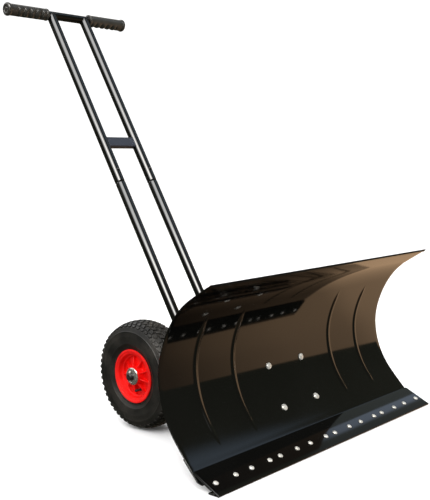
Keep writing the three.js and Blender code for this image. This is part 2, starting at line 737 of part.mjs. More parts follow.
// [radius, distance outward from the wheel's middle] profiles, anticlockwise
const TYRE_OUTSIDE = [[55.5, 33], [62, 33.3], [72, 39.5], [90, 42], [109.5, 37], [119.6, 19]];
const TYRE_INSIDE = [[55.5, 28], [87, 37], [109.5, 24]];
const TYRE_INNER_CROWN = 113.5;

function tyreProfile() {
  const mirror = ([radius, along]) => [radius, -along];
  return [
    ...TYRE_OUTSIDE.map(mirror),
    [WHEEL_RADIUS, 0],
    ...[...TYRE_OUTSIDE].reverse(),
    ...TYRE_INSIDE,
    [TYRE_INNER_CROWN, 0],
    ...[...TYRE_INSIDE].reverse().map(mirror),
  ];
}

const RIM_FLANGE_RADIUS = 60.5;
const RIM_FLANGE = 36.5;
const RIM_SEAT_RADIUS = 54.9;
const RIM_SEAT = 33.3;
const WEB_INNER = 13;
const WEB_OUTER = 18;
const RIM_PROFILE = [
  [HUB_BORE, HUB_INNER_END],
  [HUB_RADIUS, HUB_INNER_END],
  [HUB_RADIUS, WEB_INNER],
  [49.5, WEB_INNER],
  [50.5, -RIM_FLANGE],
  [RIM_FLANGE_RADIUS, -RIM_FLANGE],
  [RIM_FLANGE_RADIUS, -RIM_SEAT - 0.4],
  [RIM_SEAT_RADIUS, -RIM_SEAT],
  [RIM_SEAT_RADIUS, RIM_SEAT],
  [RIM_FLANGE_RADIUS, RIM_SEAT + 0.4],
  [RIM_FLANGE_RADIUS, RIM_FLANGE],
  [50.5, RIM_FLANGE],
  [48, WEB_OUTER],
  [HUB_RADIUS + 2, WEB_OUTER],
  [HUB_RADIUS, HUB_OUTER_END],
  [HUB_BORE, HUB_OUTER_END],
];

function makeWheels() {
  for (const [side, sign] of sides) {
    const x = sign * WHEEL_X;
    addPart(`tyre_${side}`, turned(tyreProfile(), x, sign), 'tyre_rubber');
    addPart(`rim_${side}`, turned(RIM_PROFILE, x, sign), 'red_plastic');

    const bush = [
      [BUSH_BORE, HUB_INNER_END],
      [BUSH_RADIUS, HUB_INNER_END],
      [BUSH_RADIUS, HUB_OUTER_END],
      [BUSH_BORE, HUB_OUTER_END],
    ];
    addPart(`hub_bush_${side}`, turned(bush, x, sign, AXLE_Y, AXLE_Z, 24), 'bearing_bronze');

    const angle = radians(VALVE_ANGLE);
    const valveY = AXLE_Y - VALVE_FROM_AXLE * Math.sin(angle);
    const valveZ = AXLE_Z - VALVE_FROM_AXLE * Math.cos(angle);
    const valve = rod(
      VALVE_RADIUS,
      vec(x + sign * (WEB_OUTER + GAP), valveY, valveZ),
      vec(x + sign * (RIM_FLANGE - 2), valveY, valveZ),
      12,
    );
    addPart(`valve_stem_${side}`, valve, 'black_plastic');

    const hubInnerX = WHEEL_X + HUB_INNER_END - GAP;
    const spacer = pipe(
      SPACER_RADIUS,
      AXLE_TUBE_BORE,
      vec(sign * (AXLE_TUBE_HALF_LENGTH + GAP), AXLE_Y, AXLE_Z),
      vec(sign * hubInnerX, AXLE_Y, AXLE_Z),
    );
    addPart(`axle_spacer_${side}`, spacer, 'zinc');

    const washer = [[8.4, 0], [19.5, 0], [18.6, 1.4], [12.5, 3], [8.4, 3]];
    const washerX = sign * (WHEEL_X + HUB_OUTER_END + GAP);
    addPart(`hub_washer_${side}`, turned(washer, washerX, sign, AXLE_Y, AXLE_Z, 24), 'zinc');

    const pin = [
      [0, -14],
      [COTTER_RADIUS, -14],
      [COTTER_RADIUS, 9],
      [COTTER_RADIUS * 2, 9.6],
      [COTTER_RADIUS * 2, 13],
      [0, 14],
    ];
    const points = pin.map(([radius, height]) => new THREE.Vector2(radius, height));
    const cotter = new THREE.LatheGeometry(points, 8).rotateX(Math.PI / 2);
    addPart(`cotter_pin_${side}`, cotter.translate(sign * COTTER_X, AXLE_Y, AXLE_Z), 'zinc');
  }
}

// ---------------------------------------------------------------- assembly

makeBlade();
makePivotBracket();
makePivot();
makeClamp();
makeFrame();
makeHandle();
makeWheels();

const bounds = new THREE.Box3().setFromObject(assembly, true);
const middle = bounds.getCenter(new THREE.Vector3());
assembly.position.set(-middle.x, -middle.y, -bounds.min.z);

const group = new THREE.Group();
group.add(assembly);
group.updateMatrixWorld(true);

export default group;
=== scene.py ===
"""Wheeled snow shovel: fine surfaces, materials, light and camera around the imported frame.

Shapes are worked out in millimetres in the frame and turned into metres when a piece is made.
X runs along the blade, the blade faces -Y, the handle leans back towards +Y, and Z is up.
"""
import random
from math import asin, atan2, ceil, copysign, cos, hypot, pi, radians, sin, sqrt, tan

import bmesh
import bpy
from mathutils import Matrix, Vector


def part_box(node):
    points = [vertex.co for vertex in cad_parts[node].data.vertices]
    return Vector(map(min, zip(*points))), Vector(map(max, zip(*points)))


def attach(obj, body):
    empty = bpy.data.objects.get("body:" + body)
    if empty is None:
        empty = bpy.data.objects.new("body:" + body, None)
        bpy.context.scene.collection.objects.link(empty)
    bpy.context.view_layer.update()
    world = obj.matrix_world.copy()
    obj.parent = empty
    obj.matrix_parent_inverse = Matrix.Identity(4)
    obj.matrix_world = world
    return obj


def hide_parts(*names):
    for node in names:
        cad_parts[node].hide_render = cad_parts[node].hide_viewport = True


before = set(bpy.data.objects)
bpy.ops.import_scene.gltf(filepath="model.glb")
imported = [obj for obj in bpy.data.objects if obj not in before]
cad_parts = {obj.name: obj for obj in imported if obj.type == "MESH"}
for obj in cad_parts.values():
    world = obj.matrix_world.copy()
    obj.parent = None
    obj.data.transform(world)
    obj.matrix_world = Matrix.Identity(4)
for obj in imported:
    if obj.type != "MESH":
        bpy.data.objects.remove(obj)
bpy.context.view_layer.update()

MM = 0.001
SIDES = (("left", -1), ("right", 1))
scene = bpy.context.scene


def cad_box(node):
    """Lowest and highest corner of a CAD node, in millimetres."""
    low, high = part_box(node)
    return low / MM, high / MM


def cad_centre(node):
    low, high = cad_box(node)
    return (low + high) / 2


# ---------- camera

CAMERA_PLACE = (-1.3682, -1.3994, 0.5658)
CAMERA_YAW = 0.760  # from +X towards +Y
CAMERA_PITCH = 0.093  # downwards
CAMERA_ROLL = -0.0255
CAMERA_LENS = 58.61


def make_camera():
    camera = bpy.data.objects.new("camera", bpy.data.cameras.new("camera"))
    scene.collection.objects.link(camera)
    scene.camera = camera
    forward = Vector((
        cos(CAMERA_YAW) * cos(CAMERA_PITCH),
        sin(CAMERA_YAW) * cos(CAMERA_PITCH),
        -sin(CAMERA_PITCH),
    ))
    right = Vector((sin(CAMERA_YAW), -cos(CAMERA_YAW), 0))
    up = right.cross(forward)
    level = Matrix((right, up, -forward)).transposed()
    turn = Matrix.Rotation(-CAMERA_ROLL, 3, forward)
    camera.matrix_world = Matrix.Translation(CAMERA_PLACE) @ (turn @ level).to_4x4()
    camera.data.lens = CAMERA_LENS
    camera.data.sensor_width = 36
    camera.data.clip_end = 60


make_camera()

# ---------- material nodes


class Nodes:
    """A new material whose shader nodes are added and linked call by call."""

    def __init__(self, name):
        self.material = bpy.data.materials.new(name)
        self.material.use_nodes = True
        self.tree = self.material.node_tree
        self.tree.nodes.clear()

    def add(self, kind, inputs=None, **settings):
        node = self.tree.nodes.new(kind)
        for key, value in settings.items():
            setattr(node, key, value)
        for key, value in (inputs or {}).items():
            if isinstance(value, bpy.types.NodeSocket):
                self.tree.links.new(value, node.inputs[key])
            else:
                node.inputs[key].default_value = value
        return node

    def place(self, stretch=(1, 1, 1)):
        coordinates = self.add("ShaderNodeTexCoord").outputs["Object"]
        if stretch == (1, 1, 1):
            return coordinates
        return self.add("ShaderNodeMapping", {"Vector": coordinates, "Scale": stretch}).outputs[0]

    def noise(self, scale, detail=3.0, rough=0.5, stretch=(1, 1, 1)):
        settings = {"Vector": self.place(stretch), "Scale": scale, "Detail": detail, "Roughness": rough}
        return self.add("ShaderNodeTexNoise", settings).outputs["Fac"]

    def remap(self, value, low, high, to_low, to_high):
        inputs = {"Value": value, "From Min": low, "From Max": high, "To Min": to_low, "To Max": to_high}
        return self.add("ShaderNodeMapRange", inputs).outputs[0]

    def smooth(self, value, low, high):
        """0 at low, 1 at high, with a soft start and end; low may be the larger one."""
        inputs = {"Value": value, "From Min": low, "From Max": high, "To Min": 0.0, "To Max": 1.0}
        return self.add("ShaderNodeMapRange", inputs, interpolation_type="SMOOTHSTEP").outputs[0]

    def maths(self, operation, *values):
        return self.add("ShaderNodeMath", dict(enumerate(values)), operation=operation).outputs[0]

    def blend(self, factor, first, second):
        first, second = ((*c, 1) if isinstance(c, tuple) else c for c in (first, second))
        return self.add("ShaderNodeMix", {0: factor, 6: first, 7: second}, data_type="RGBA").outputs[2]

    def bump(self, height, distance, strength=1.0, normal=None):
        inputs = {"Height": height, "Distance": distance, "Strength": strength}
        if normal is not None:
            inputs["Normal"] = normal
        return self.add("ShaderNodeBump", inputs).outputs[0]

    def finish(self, colour, roughness, normal=None, **constants):
        inputs = {"Base Color": colour, "Roughness": roughness}
        if normal is not None:
            inputs["Normal"] = normal
        inputs.update({key.replace("_", " "): value for key, value in constants.items()})
        shader = self.add("ShaderNodeBsdfPrincipled", inputs)
        self.add("ShaderNodeOutputMaterial", {"Surface": shader.outputs[0]})
        return self.material


def gloss_paint(name, colour, dusty, roughness, peel):
    """Gloss coat: slow waviness, faint orange peel, a film of dust in patches and fine handling scratches."""
    n = Nodes(name)
    clouds = n.noise(9, 4, 0.6)
    dust = n.remap(clouds, 0.45, 0.8, 0, 0.35)
    shade = n.blend(dust, colour, dusty)
    scratches = n.noise(60, 2, 0.7, (1, 14, 9))
    fine = n.remap(scratches, 0.62, 0.72, 0, 0.05)
    base = n.remap(clouds, 0.3, 0.8, roughness * 0.8, roughness * 1.3)
    rough = n.maths("ADD", base, fine)
    wavy = n.bump(n.noise(9, 1, 0.3), 0.00012, 0.5)
    peeled = n.bump(n.noise(340, 2, 0.4), peel, 0.6, wavy)
    return n.finish(shade, rough, peeled, Metallic=0.0, IOR=1.5)


def plated_steel(name, colour, dull, roughness, metallic):
    """Zinc or bare steel: cloudy plating, dull spots and a fine grain."""
    n = Nodes(name)
    clouds = n.noise(70, 4, 0.6)
    shade = n.blend(n.remap(clouds, 0.4, 0.72, 0, 1), colour, dull)
    rough = n.remap(n.noise(240, 3, 0.6), 0.3, 0.75, roughness * 0.75, roughness * 1.5)
    grain = n.bump(n.noise(900, 2, 0.5), 0.00003, 0.5)
    return n.finish(shade, rough, grain, Metallic=metallic)


def rubber(name, colour, worn, roughness, shine, grain_scale, grain_depth):
    """Rubber: fine moulded grain, dusty bloom and slightly polished high spots."""
    n = Nodes(name)
    clouds = n.noise(24, 5, 0.65)
    speckle = n.noise(310, 3, 0.6)
    bloom = n.maths("MULTIPLY", n.remap(clouds, 0.42, 0.74, 0, 1), n.remap(speckle, 0.35, 0.65, 0.5, 1))
    shade = n.blend(bloom, colour, worn)
    rough = n.remap(clouds, 0.3, 0.75, roughness * 0.85, roughness * 1.15)
    grain = n.bump(n.noise(grain_scale, 3, 0.55), grain_depth, 0.7)
    return n.finish(shade, rough, grain, Metallic=0.0, Specular_IOR_Level=shine)


def moulded_plastic(name, colour, deep, roughness):
    """Injection moulded plastic: faint flow marks, slight sheen changes and a satin grain."""
    n = Nodes(name)
    flow = n.noise(18, 3, 0.6, (1, 3, 1))
    shade = n.blend(n.remap(flow, 0.35, 0.7, 0, 1), colour, deep)
    rough = n.remap(n.noise(130, 3, 0.5), 0.3, 0.7, roughness * 0.85, roughness * 1.3)
    grain = n.bump(n.noise(650, 2, 0.5), 0.00002, 0.5)
    return n.finish(shade, rough, grain, Metallic=0.0, Specular_IOR_Level=0.16)


FINISHES = {
    # the function that makes it, its two colours, and the other values that function takes
    "black_paint": (gloss_paint, (0.003, 0.003, 0.0028), (0.0055, 0.0052, 0.0048), 0.06, 0.000002),
    "slate_paint": (gloss_paint, (0.022, 0.024, 0.034), (0.034, 0.034, 0.042), 0.32, 0.000003),
    "zinc": (plated_steel, (0.66, 0.645, 0.6), (0.5, 0.475, 0.41), 0.34, 0.35),
    # a darker copy of zinc for the hub washers: painted shade that keeps the lamps' highlight from turning
    # them white
    "washer_steel": (plated_steel, (0.52, 0.5, 0.46), (0.3, 0.28, 0.25), 0.26, 0.85),
    "dark_steel": (plated_steel, (0.06, 0.06, 0.062), (0.03, 0.03, 0.03), 0.4, 0.8),
    "bearing_bronze": (plated_steel, (0.5, 0.34, 0.14), (0.34, 0.22, 0.1), 0.4, 0.9),
    "tyre_rubber": (rubber, (0.0042, 0.0038, 0.0033), (0.03, 0.026, 0.021), 0.5, 0.3, 420, 0.00008),
    "grip_rubber": (rubber, (0.022, 0.02, 0.0165), (0.04, 0.035, 0.028), 0.34, 0.6, 520, 0.00004),
    "red_plastic": (moulded_plastic, (0.84, 0.005, 0.003), (0.6, 0.003, 0.002), 0.42),
    "black_plastic": (moulded_plastic, (0.012, 0.012, 0.013), (0.02, 0.02, 0.02), 0.45),
}
MATERIALS = {name: make(name, *values) for name, (make, *values) in FINISHES.items()}

# ---------- mesh helpers


class Solid:
    """Points and faces of one piece, gathered from several closed shells."""

    def __init__(self):
        self.points = []
        self.faces = []

    def shell(self, points, faces):
        start = len(self.points)
        self.points += [Vector(p) for p in points]
        self.faces += [[start + i for i in face] for face in faces]

    def rings(self, rings, capped=True, looped=False):
        """Quads between closed rings of points; flat caps at both ends, or the last joins the first."""
        count = len(rings[0])
        end = (len(rings) - 1) * count
        faces = []
        for a in range(0, end + count if looped else end, count):
            b = (a + count) % (end + count)
            for i in range(count):
                j = (i + 1) % count
                faces.append([a + i, a + j, b + j, b + i])
        if capped and not looped:
            faces += [list(range(count))[::-1], list(range(end, end + count))]
        self.shell([p for ring in rings for p in ring], faces)

    def piece(self, name, slot, body, nodes=(), sharp=32, weld=0.001, look=None):
        mesh = bpy.data.meshes.new(name)
        mesh.from_pydata([p * MM for p in self.points], [], self.faces)
        work = bmesh.new()
        work.from_mesh(mesh)
        bmesh.ops.remove_doubles(work, verts=work.verts, dist=weld * MM)
        bmesh.ops.recalc_face_normals(work, faces=work.faces)
        work.to_mesh(mesh)
        work.free()
        mesh.materials.append(MATERIALS[look or slot])
        mesh.shade_smooth()
        mesh.set_sharp_from_angle(angle=radians(sharp))
        obj = bpy.data.objects.new(name, mesh)
        scene.collection.objects.link(obj)
        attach(obj, body)
        if nodes:
            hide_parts(*nodes)

    def replace(self, node, slot="black_paint", body="frame", sharp=32, **options):
        """Becomes the fine piece that stands in for one CAD node."""
        self.piece(f"{node}_fine", slot, body, [node], sharp, **options)


def fillet(points, radius, closed=True, steps=4):
    """The outline with its corners rounded; a point may carry its own radius as a third number."""
    corners = [Vector(p[:2]) for p in points]
    radii = [p[2] if len(p) > 2 else radius for p in points]
    count = len(corners)
    result = []
    for i, corner in enumerate(corners):
        if not closed and i in (0, count - 1):
            result.append(corner)
            continue
        back = corners[i - 1] - corner
        ahead = corners[(i + 1) % count] - corner
        angle = back.angle(ahead)
        if radii[i] <= 0 or angle > radians(179):
            result.append(corner)
            continue
        reach = min(radii[i] / tan(angle / 2), back.length * 0.49, ahead.length * 0.49)
        size = reach * tan(angle / 2)
        middle = (back.normalized() + ahead.normalized()).normalized()
        centre = corner + middle * (size / sin(angle / 2))
        start = corner + back.normalized() * reach - centre
        turn = start.angle_signed(corner + ahead.normalized() * reach - centre)
        for k in range(steps + 1):
            spin = -turn * k / steps
            result.append(centre + Matrix.Rotation(spin, 2) @ start)
    return result


def frame_along(direction, side=None):
    """A direction as a unit vector, and two unit vectors square to it."""
    along = Vector(direction).normalized()
    if side is None:
        side = Vector((1, 0, 0)) if abs(along.x) < 0.9 else Vector((0, 1, 0))
    first = (side - along * side.dot(along)).normalized()
    return along, first, along.cross(first)


def circle(steps):
    """Angles all the way round."""
    return [i / steps * 2 * pi for i in range(steps)]


def spread(low, high, step):
    """Angles from low to high, given in degrees."""
    return [radians(a) for a in range(low, high + 1, step)]


def with_ways(points):
    """Each point with the unit direction from the one before it to the one after it."""
    pairs = zip(points, points[:1] + points, points[1:] + points[-1:])
    return [(p, (after - before).normalized()) for p, before, after in pairs]


def on_circle(angle, radius, first, second):
    return first * (radius * cos(angle)) + second * (radius * sin(angle))


def lathe(solid, profile, place, direction, steps=48, radius_at=None):
    """A [radius, along] profile turned about a direction; it closes on itself or ends on the axis."""
    along, first, second = frame_along(direction)
    place = Vector(place)
    rings = []
    for radius, reach in profile:
        ring = []
        for angle in circle(steps):
            r = radius_at(radius, reach, angle) if radius_at else radius
            ring.append(place + along * reach + on_circle(angle, r, first, second))
        rings.append(ring)
    on_axis = profile[0][0] < 1e-6 and profile[-1][0] < 1e-6
    solid.rings(rings, capped=False, looped=not on_axis)


def turned(node, profile, place, direction, slot, body, steps=48, radius_at=None, **options):
    """Replaces a CAD node by one turned profile."""
    solid = Solid()
    lathe(solid, profile, place, direction, steps, radius_at)
    solid.replace(node, slot, body, **options)


def pipe(solid, radius, bore, start, end, steps=40, edge=0.3, cope=None):
    """A tube with softened edges; cope tells how far a point of its far end moves along the tube."""
    start, end = Vector(start), Vector(end)
    along, first, second = frame_along(end - start)
    length = (end - start).length
    profile = [
        (bore + edge, 0), (radius - edge, 0), (radius, edge),
        (radius, length - edge), (radius - edge, length), (bore + edge, length),
        (bore, length - edge), (bore, edge),
    ]
    rings = []
    for r, reach in profile:
        ring = []
        for angle in circle(steps):
            across = on_circle(angle, r, first, second)
            shift = cope(across) if cope and reach > length / 2 else 0
            ring.append(start + across + along * (reach + shift))
        rings.append(ring)
    solid.rings(rings, capped=False, looped=True)


def tube_along_x(node, centre, bore, slot, body, steps, edge, radius=None):
    """Replaces a tube that lies along X and ends where its CAD node ends."""
    low, high = cad_box(node)
    start, end = (low.x, centre.y, centre.z), (high.x, centre.y, centre.z)
    solid = Solid()
    pipe(solid, radius or high.z - centre.z, bore, start, end, steps, edge)
    solid.replace(node, slot, body)


def prism(solid, outline, origin, axis_u, axis_v, length, edge=0.4):
    """A closed outline in u and v, pushed along u x v by a length, with softened end edges."""
    u, v = Vector(axis_u).normalized(), Vector(axis_v).normalized()
    w = u.cross(v)
    points = [Vector(p) for p in outline]
    area = sum(a.x * b.y - b.x * a.y for a, b in zip(points, points[1:] + points[:1]))
    if area < 0:
        points.reverse()
    count = len(points)
    inset = []
    for i, p in enumerate(points):
        before = (p - points[i - 1]).normalized()
        after = (points[(i + 1) % count] - p).normalized()
        normal = Vector((-(before.y + after.y), before.x + after.x)).normalized()
        inset.append(p + normal * edge)
    rings = []
    for reach, ring in ((0, inset), (edge, points), (length - edge, points), (length, inset)):
        rings.append([Vector(origin) + u * p.x + v * p.y + w * reach for p in ring])
    solid.rings(rings)


def nut(solid, place, direction, across_flats, height, bore):
    """A hexagon nut, or a bolt head where the bore is 0, with its corners turned down."""
    radius = across_flats / sqrt(3)
    flat = across_flats / 2

    def hexed(r, _, angle):
        return min(r, flat / cos((angle % (pi / 3)) - pi / 6))

    chamfer = radius - flat
    profile = [
        (bore, 0), (flat * 0.96, 0), (radius, chamfer * 0.6),
        (radius, height - chamfer * 0.6), (flat * 0.96, height), (bore, height),
    ]
    if bore <= 0:
        profile = [(0, 0), *profile[1:-1], (0, height)]
    lathe(solid, profile, place, direction, 24, hexed)


def carriage_head(solid, place, direction, radius, shank, length, steps=28):
    """A mushroom head on a shank; the shank runs back from the head."""
    rise = radius * 0.45
    rim = radius * 0.12
    dome = [(radius * cos(a), rim + rise * sin(a)) for a in circle(32)[1:8]]
    profile = [(0, -length), (shank - 0.6, -length), (shank, -length + 0.6), (shank, 0), (radius - 0.2, 0)]
    profile += [(radius, 0.2), (radius, rim), *dome, (0, rim + rise)]
    lathe(solid, profile, place, direction, steps)


def wire(solid, path, radii):
    """A round wire or bead along a path, with a radius at each point."""
    rings = []
    side = None
    for (p, way), radius in zip(with_ways([Vector(p) for p in path]), radii):
        _, side, second = frame_along(way, side)
        rings.append([p + on_circle(a, radius, side, second) for a in circle(8)])
    solid.rings(rings)


def divided(points, count_for):
    """The path with each of its runs cut into as many equal parts as count_for says."""
    fine = []
    for a, b in zip(points, points[1:]):
        count = count_for((b - a).length)
        fine += [a.lerp(b, k / count) for k in range(count)]
    return [*fine, points[-1]]


def weld_bead(solid, path, size, seed):
    """A hand-laid weld: overlapping ripples along a path that is finely divided first."""
    draws = random.Random(seed)
    fine = divided([Vector(p) for p in path], lambda run: max(2, int(run / (size * 0.35))))
    sizes = []
    for i in range(len(fine)):
        ripple = 1 + 0.13 * cos(i * 2 * pi / 4) + draws.uniform(-0.05, 0.05)
        ends = min(1, 0.45 + min(i, len(fine) - 1 - i) * 0.3)
        sizes.append(size * ripple * ends)
    wire(solid, fine, sizes)


# ---------- blade section

BLADE_HIGH = cad_box("blade_sheet")[1]
BLADE_HALF = BLADE_HIGH.x
BLADE_TOP_Z = BLADE_HIGH.z
SHEET = 2.0
ARC_RADIUS = 179.0
ARC_Y = BLADE_HIGH.y - ARC_RADIUS - SHEET
ARC_Z = 190.0
ARC_TOP = radians(60)
ARC_BOTTOM = radians(-42)
CREASE_Z = 30.2
FOOT_SLOPE = radians(25.5)
FOOT_LENGTH = 50.7
BEND_Z = 75.0
BEND_SLOPE = (40.0, 44.0)  # degrees off the upright at BEND_Z and at the crease
BOW_Z = (185.0, 366.0)
BOW_DEPTH = 3.2
GAP = 0.3
BEAD_X = (-273, -165, 165, 273)
BEAD_Z = (52, 294)
BEAD_HALF_WIDTH = 7.5
BEAD_DEPTH = 2.0
BEAD_TAPER = 26


def arc_point(angle):
    return Vector((ARC_Y + ARC_RADIUS * cos(angle), ARC_Z + ARC_RADIUS * sin(angle)))


def tangent_point(angle, z):
    """Where the straight run that leaves the arc at an angle reaches a height."""
    start = arc_point(angle)
    return Vector((start.x - (z - start.y) / cos(angle) * sin(angle), z))


CREASE = tangent_point(ARC_BOTTOM, CREASE_Z)
FOOT_DOWN = Vector((-cos(FOOT_SLOPE), -sin(FOOT_SLOPE)))
FOOT_OUT = Vector((-sin(FOOT_SLOPE), cos(FOOT_SLOPE)))


def foot_point(down, off):
    """A point on the foot: distance down from the crease, height off the sheet's front."""
    return CREASE + FOOT_DOWN * down + FOOT_OUT * off


def on_blade(x, point):
    """A point of the blade's section at an X position."""
    return Vector((x, *point))


def front_point(z):
    """The sheet's front at a height; below BEND_Z it keeps bending a little on its way to the crease."""
    share = min(max((z - BOW_Z[0]) / (BOW_Z[1] - BOW_Z[0]), 0), 1)
    bow = Vector((BOW_DEPTH * sin(pi * share) ** 2, 0))
    if z >= arc_point(ARC_TOP).y:
        return tangent_point(ARC_TOP, z) - bow
    if z >= BEND_Z:
        return arc_point(asin((z - ARC_Z) / ARC_RADIUS)) - bow
    start = arc_point(asin((BEND_Z - ARC_Z) / ARC_RADIUS))
    share = (BEND_Z - z) / (BEND_Z - CREASE_Z)
    slope = radians(BEND_SLOPE[0] + (BEND_SLOPE[1] - BEND_SLOPE[0]) * share / 2)
    return Vector((start.x - (BEND_Z - z) * tan(slope), z))


def front_normal(z):
    height = min(max(z, arc_point(ARC_BOTTOM).y), arc_point(ARC_TOP).y)
    angle = asin((height - ARC_Z) / ARC_RADIUS)
    return Vector((0, -cos(angle), -sin(angle)))


def front_line(high_z, low_z, step=2.0):
    """Points down the sheet's front between two heights, at most a degree and a half apart."""
    heights = [arc_point(ARC_TOP - radians(1.5) * k).y for k in range(67)]
    heights += [BEND_Z - 4 * k for k in range(12)]
    inner = sorted({round(z, 3) for z in heights if low_z + step < z < high_z - step}, reverse=True)
    thinned = [high_z]
    for z in inner:
        if thinned[-1] - z > 1.2:
            thinned.append(z)
    return [front_point(z) for z in (*thinned, low_z)]


def subdivided(points, step):
    return divided(points, lambda run: max(1, ceil(run / step)))


def stations(path, half, middle_off):
    """Centre, front normal and half thickness along a path, with both ends rounded."""
    result = []
    last = len(path) - 1
    for i, (p, run) in enumerate(with_ways(path)):
        normal = Vector((run.y, -run.x))
        centre = p - normal * middle_off
        if i not in (0, last):
            result.append((centre, normal, half))
            continue
        inward = run * (half if i == 0 else -half)
        ends = [(-0.87, 0.5), (-0.5, 0.87), (0, 1)]
        rounded = [(centre + inward * (1 + shift), normal, half * share) for shift, share in ends]
        result += rounded if i == 0 else rounded[::-1]
    return result


EDGE_PROFILE = ((0.0, 0.4), (0.07, 0.66), (0.25, 0.9), (0.55, 1.0))


def sheet_plate(solid, line, columns, push=None, width=None):
    """A bent plate along X. line holds stations, columns X positions, push a shift towards the front."""
    half = max(s[2] for s in line)
    low = [(columns[0] + shift * half, share) for shift, share in EDGE_PROFILE]
    high = [(columns[-1] - shift * half, share) for shift, share in reversed(EDGE_PROFILE)]
    rings = []
    for x, share in [*low, *((x, 1.0) for x in columns[1:-1]), *high]:
        front, back = [], []
        for i, (centre, normal, thick) in enumerate(line):
            reach = x * (width[i] if width else 1.0)
            middle = centre + normal * (push(x, centre) if push else 0.0)
            front.append(on_blade(reach, middle + normal * (thick * share)))
            back.append(on_blade(reach, middle - normal * (thick * share)))
        rings.append(front + back[::-1])
    offset = len(solid.points)
    solid.rings(rings, capped=False)
    count = len(rings[0])
    for start in (offset, offset + (len(rings) - 1) * count):
        for i in range(count // 2 - 1):
            j = count - 1 - i
            solid.faces.append([start + i, start + i + 1, start + j - 1, start + j])


def smooth_step(low, high, value):
    t = min(max((value - low) / (high - low), 0), 1)
    return t * t * (3 - 2 * t)


def bead_push(x, centre):
    """How far the pressed beads stand towards the front at a point of the sheet."""
    if not BEAD_Z[0] < centre.y < BEAD_Z[1]:
        return 0.0
    ends = min(centre.y - BEAD_Z[0], BEAD_Z[1] - centre.y)
    grow = smooth_step(0, BEAD_TAPER, ends)
    for bead in BEAD_X:
        share = abs(x - bead) / (BEAD_HALF_WIDTH * (0.35 + 0.65 * grow))
        if share < 1:
            return BEAD_DEPTH * grow * (0.5 + 0.5 * cos(pi * share))
    return 0.0


def blade_columns():
    """X positions across the sheet: close together over the beads."""
    beside = [x for x in range(-360, 361, 20) if all(abs(x - b) > BEAD_HALF_WIDTH + 2 for b in BEAD_X)]
    over = [bead + BEAD_HALF_WIDTH * k / 10 for bead in BEAD_X for k in range(-11, 12)]
    return sorted([-BLADE_HALF, *beside, *over, BLADE_HALF])


HEM_LENGTH = 5.0
HEM_INSET = 6.0
HEM_FOLD = 1.15


def make_blade_sheet():
    """One sheet: folded hem, straight run, arc, crease and foot."""
    half = SHEET / 2
    top = tangent_point(ARC_TOP, BLADE_TOP_Z - 1)
    run = (arc_point(ARC_TOP) - top).normalized()
    out = Vector((run.y, -run.x))
    turn = top + run * (HEM_FOLD + half) + out * (HEM_FOLD - half)
    hem = [turn + Matrix.Rotation(a, 2) @ (out * HEM_FOLD) for a in spread(0, 180, 30)]
    body = front_line(BLADE_TOP_Z - 4, CREASE_Z + 8)
    crease = fillet([body[-1], CREASE, foot_point(12, 0)], 7, closed=False, steps=8)
    main = stations(subdivided([*body[:-1], *crease, foot_point(FOOT_LENGTH, 0)], 5), half, half)[3:]
    hem = [hem[0] + run * (HEM_LENGTH - HEM_FOLD), *hem]
    ordered = [(p, Vector((way.y, -way.x)), half) for p, way in with_ways(hem)]
    start, normal, _ = ordered[0]
    way = Vector((-normal.y, normal.x))
    ends = [(start + way * half * s, normal, half * k) for s, k in ((0.13, 0.5), (0.5, 0.87))]
    # the hem's free part is a little narrower than the sheet
    narrow = (BLADE_HALF - HEM_INSET) / BLADE_HALF
    widening = [narrow + (1 - narrow) * share for share in (0.35, 0.75)]
    width = [narrow] * (len(ends) + len(ordered) - 3) + widening + [1.0] * (len(main) + 1)
    solid = Solid()
    sheet_plate(solid, [*ends, *ordered, *main], blade_columns(), bead_push, width)
    solid.replace("blade_sheet", "black_paint", "blade", sharp=40)


def make_wear_strip():
    """Plate on the foot, folded back along the ground."""
    thick = 3.0
    front = GAP + thick
    lip_end = cad_box("wear_strip")[0].y + 26.32
    edge_down = (CREASE.y + GAP * cos(FOOT_SLOPE)) / sin(FOOT_SLOPE)
    inside_down = (CREASE.y + GAP * cos(FOOT_SLOPE) - thick) / sin(FOOT_SLOPE)
    outline = [
        (*foot_point(1.5, front), 0.9),
        (*foot_point(edge_down, front), 0.45),
        (*foot_point(edge_down, GAP), 0.3),
        (lip_end, 0.0, 0.9),
        (lip_end, thick, 0.9),
        (*foot_point(inside_down, GAP), 0.8),
        (*foot_point(1.5, GAP), 0.9),
    ]
    solid = Solid()
    rounded = fillet(outline, 0.9)
    prism(solid, rounded, (-BLADE_HALF, 0, 0), (0, 1, 0), (0, 0, 1), 2 * BLADE_HALF, 0.35)
    solid.replace("wear_strip", "black_paint", "blade", sharp=25)


def make_stiffener():
    half = 1.25
    top_z = 52
    corner_z = 14.6
    start = front_point(top_z)
    normal = front_normal(top_z)
    start = start - Vector((normal.y, normal.z)) * (SHEET + GAP + half)
    run = radians(-BEND_SLOPE[1])
    slope = Vector((sin(run), -cos(run)))
    corner = start + slope * ((start.y - corner_z) / cos(run))
    end = Vector((cad_box("lower_stiffener")[0].y + 0.2, 12.1))
    path = subdivided(fillet([start, corner, end], 4.5, closed=False, steps=8), 8)
    solid = Solid()
    sheet_plate(solid, stations(path, half, 0), [-BLADE_HALF, *range(-360, 361, 40), BLADE_HALF])
    solid.replace("lower_stiffener", "black_paint", "blade", sharp=40)


BRACKET_THICK = 4.0
BRACKET_CORNER = 9.0


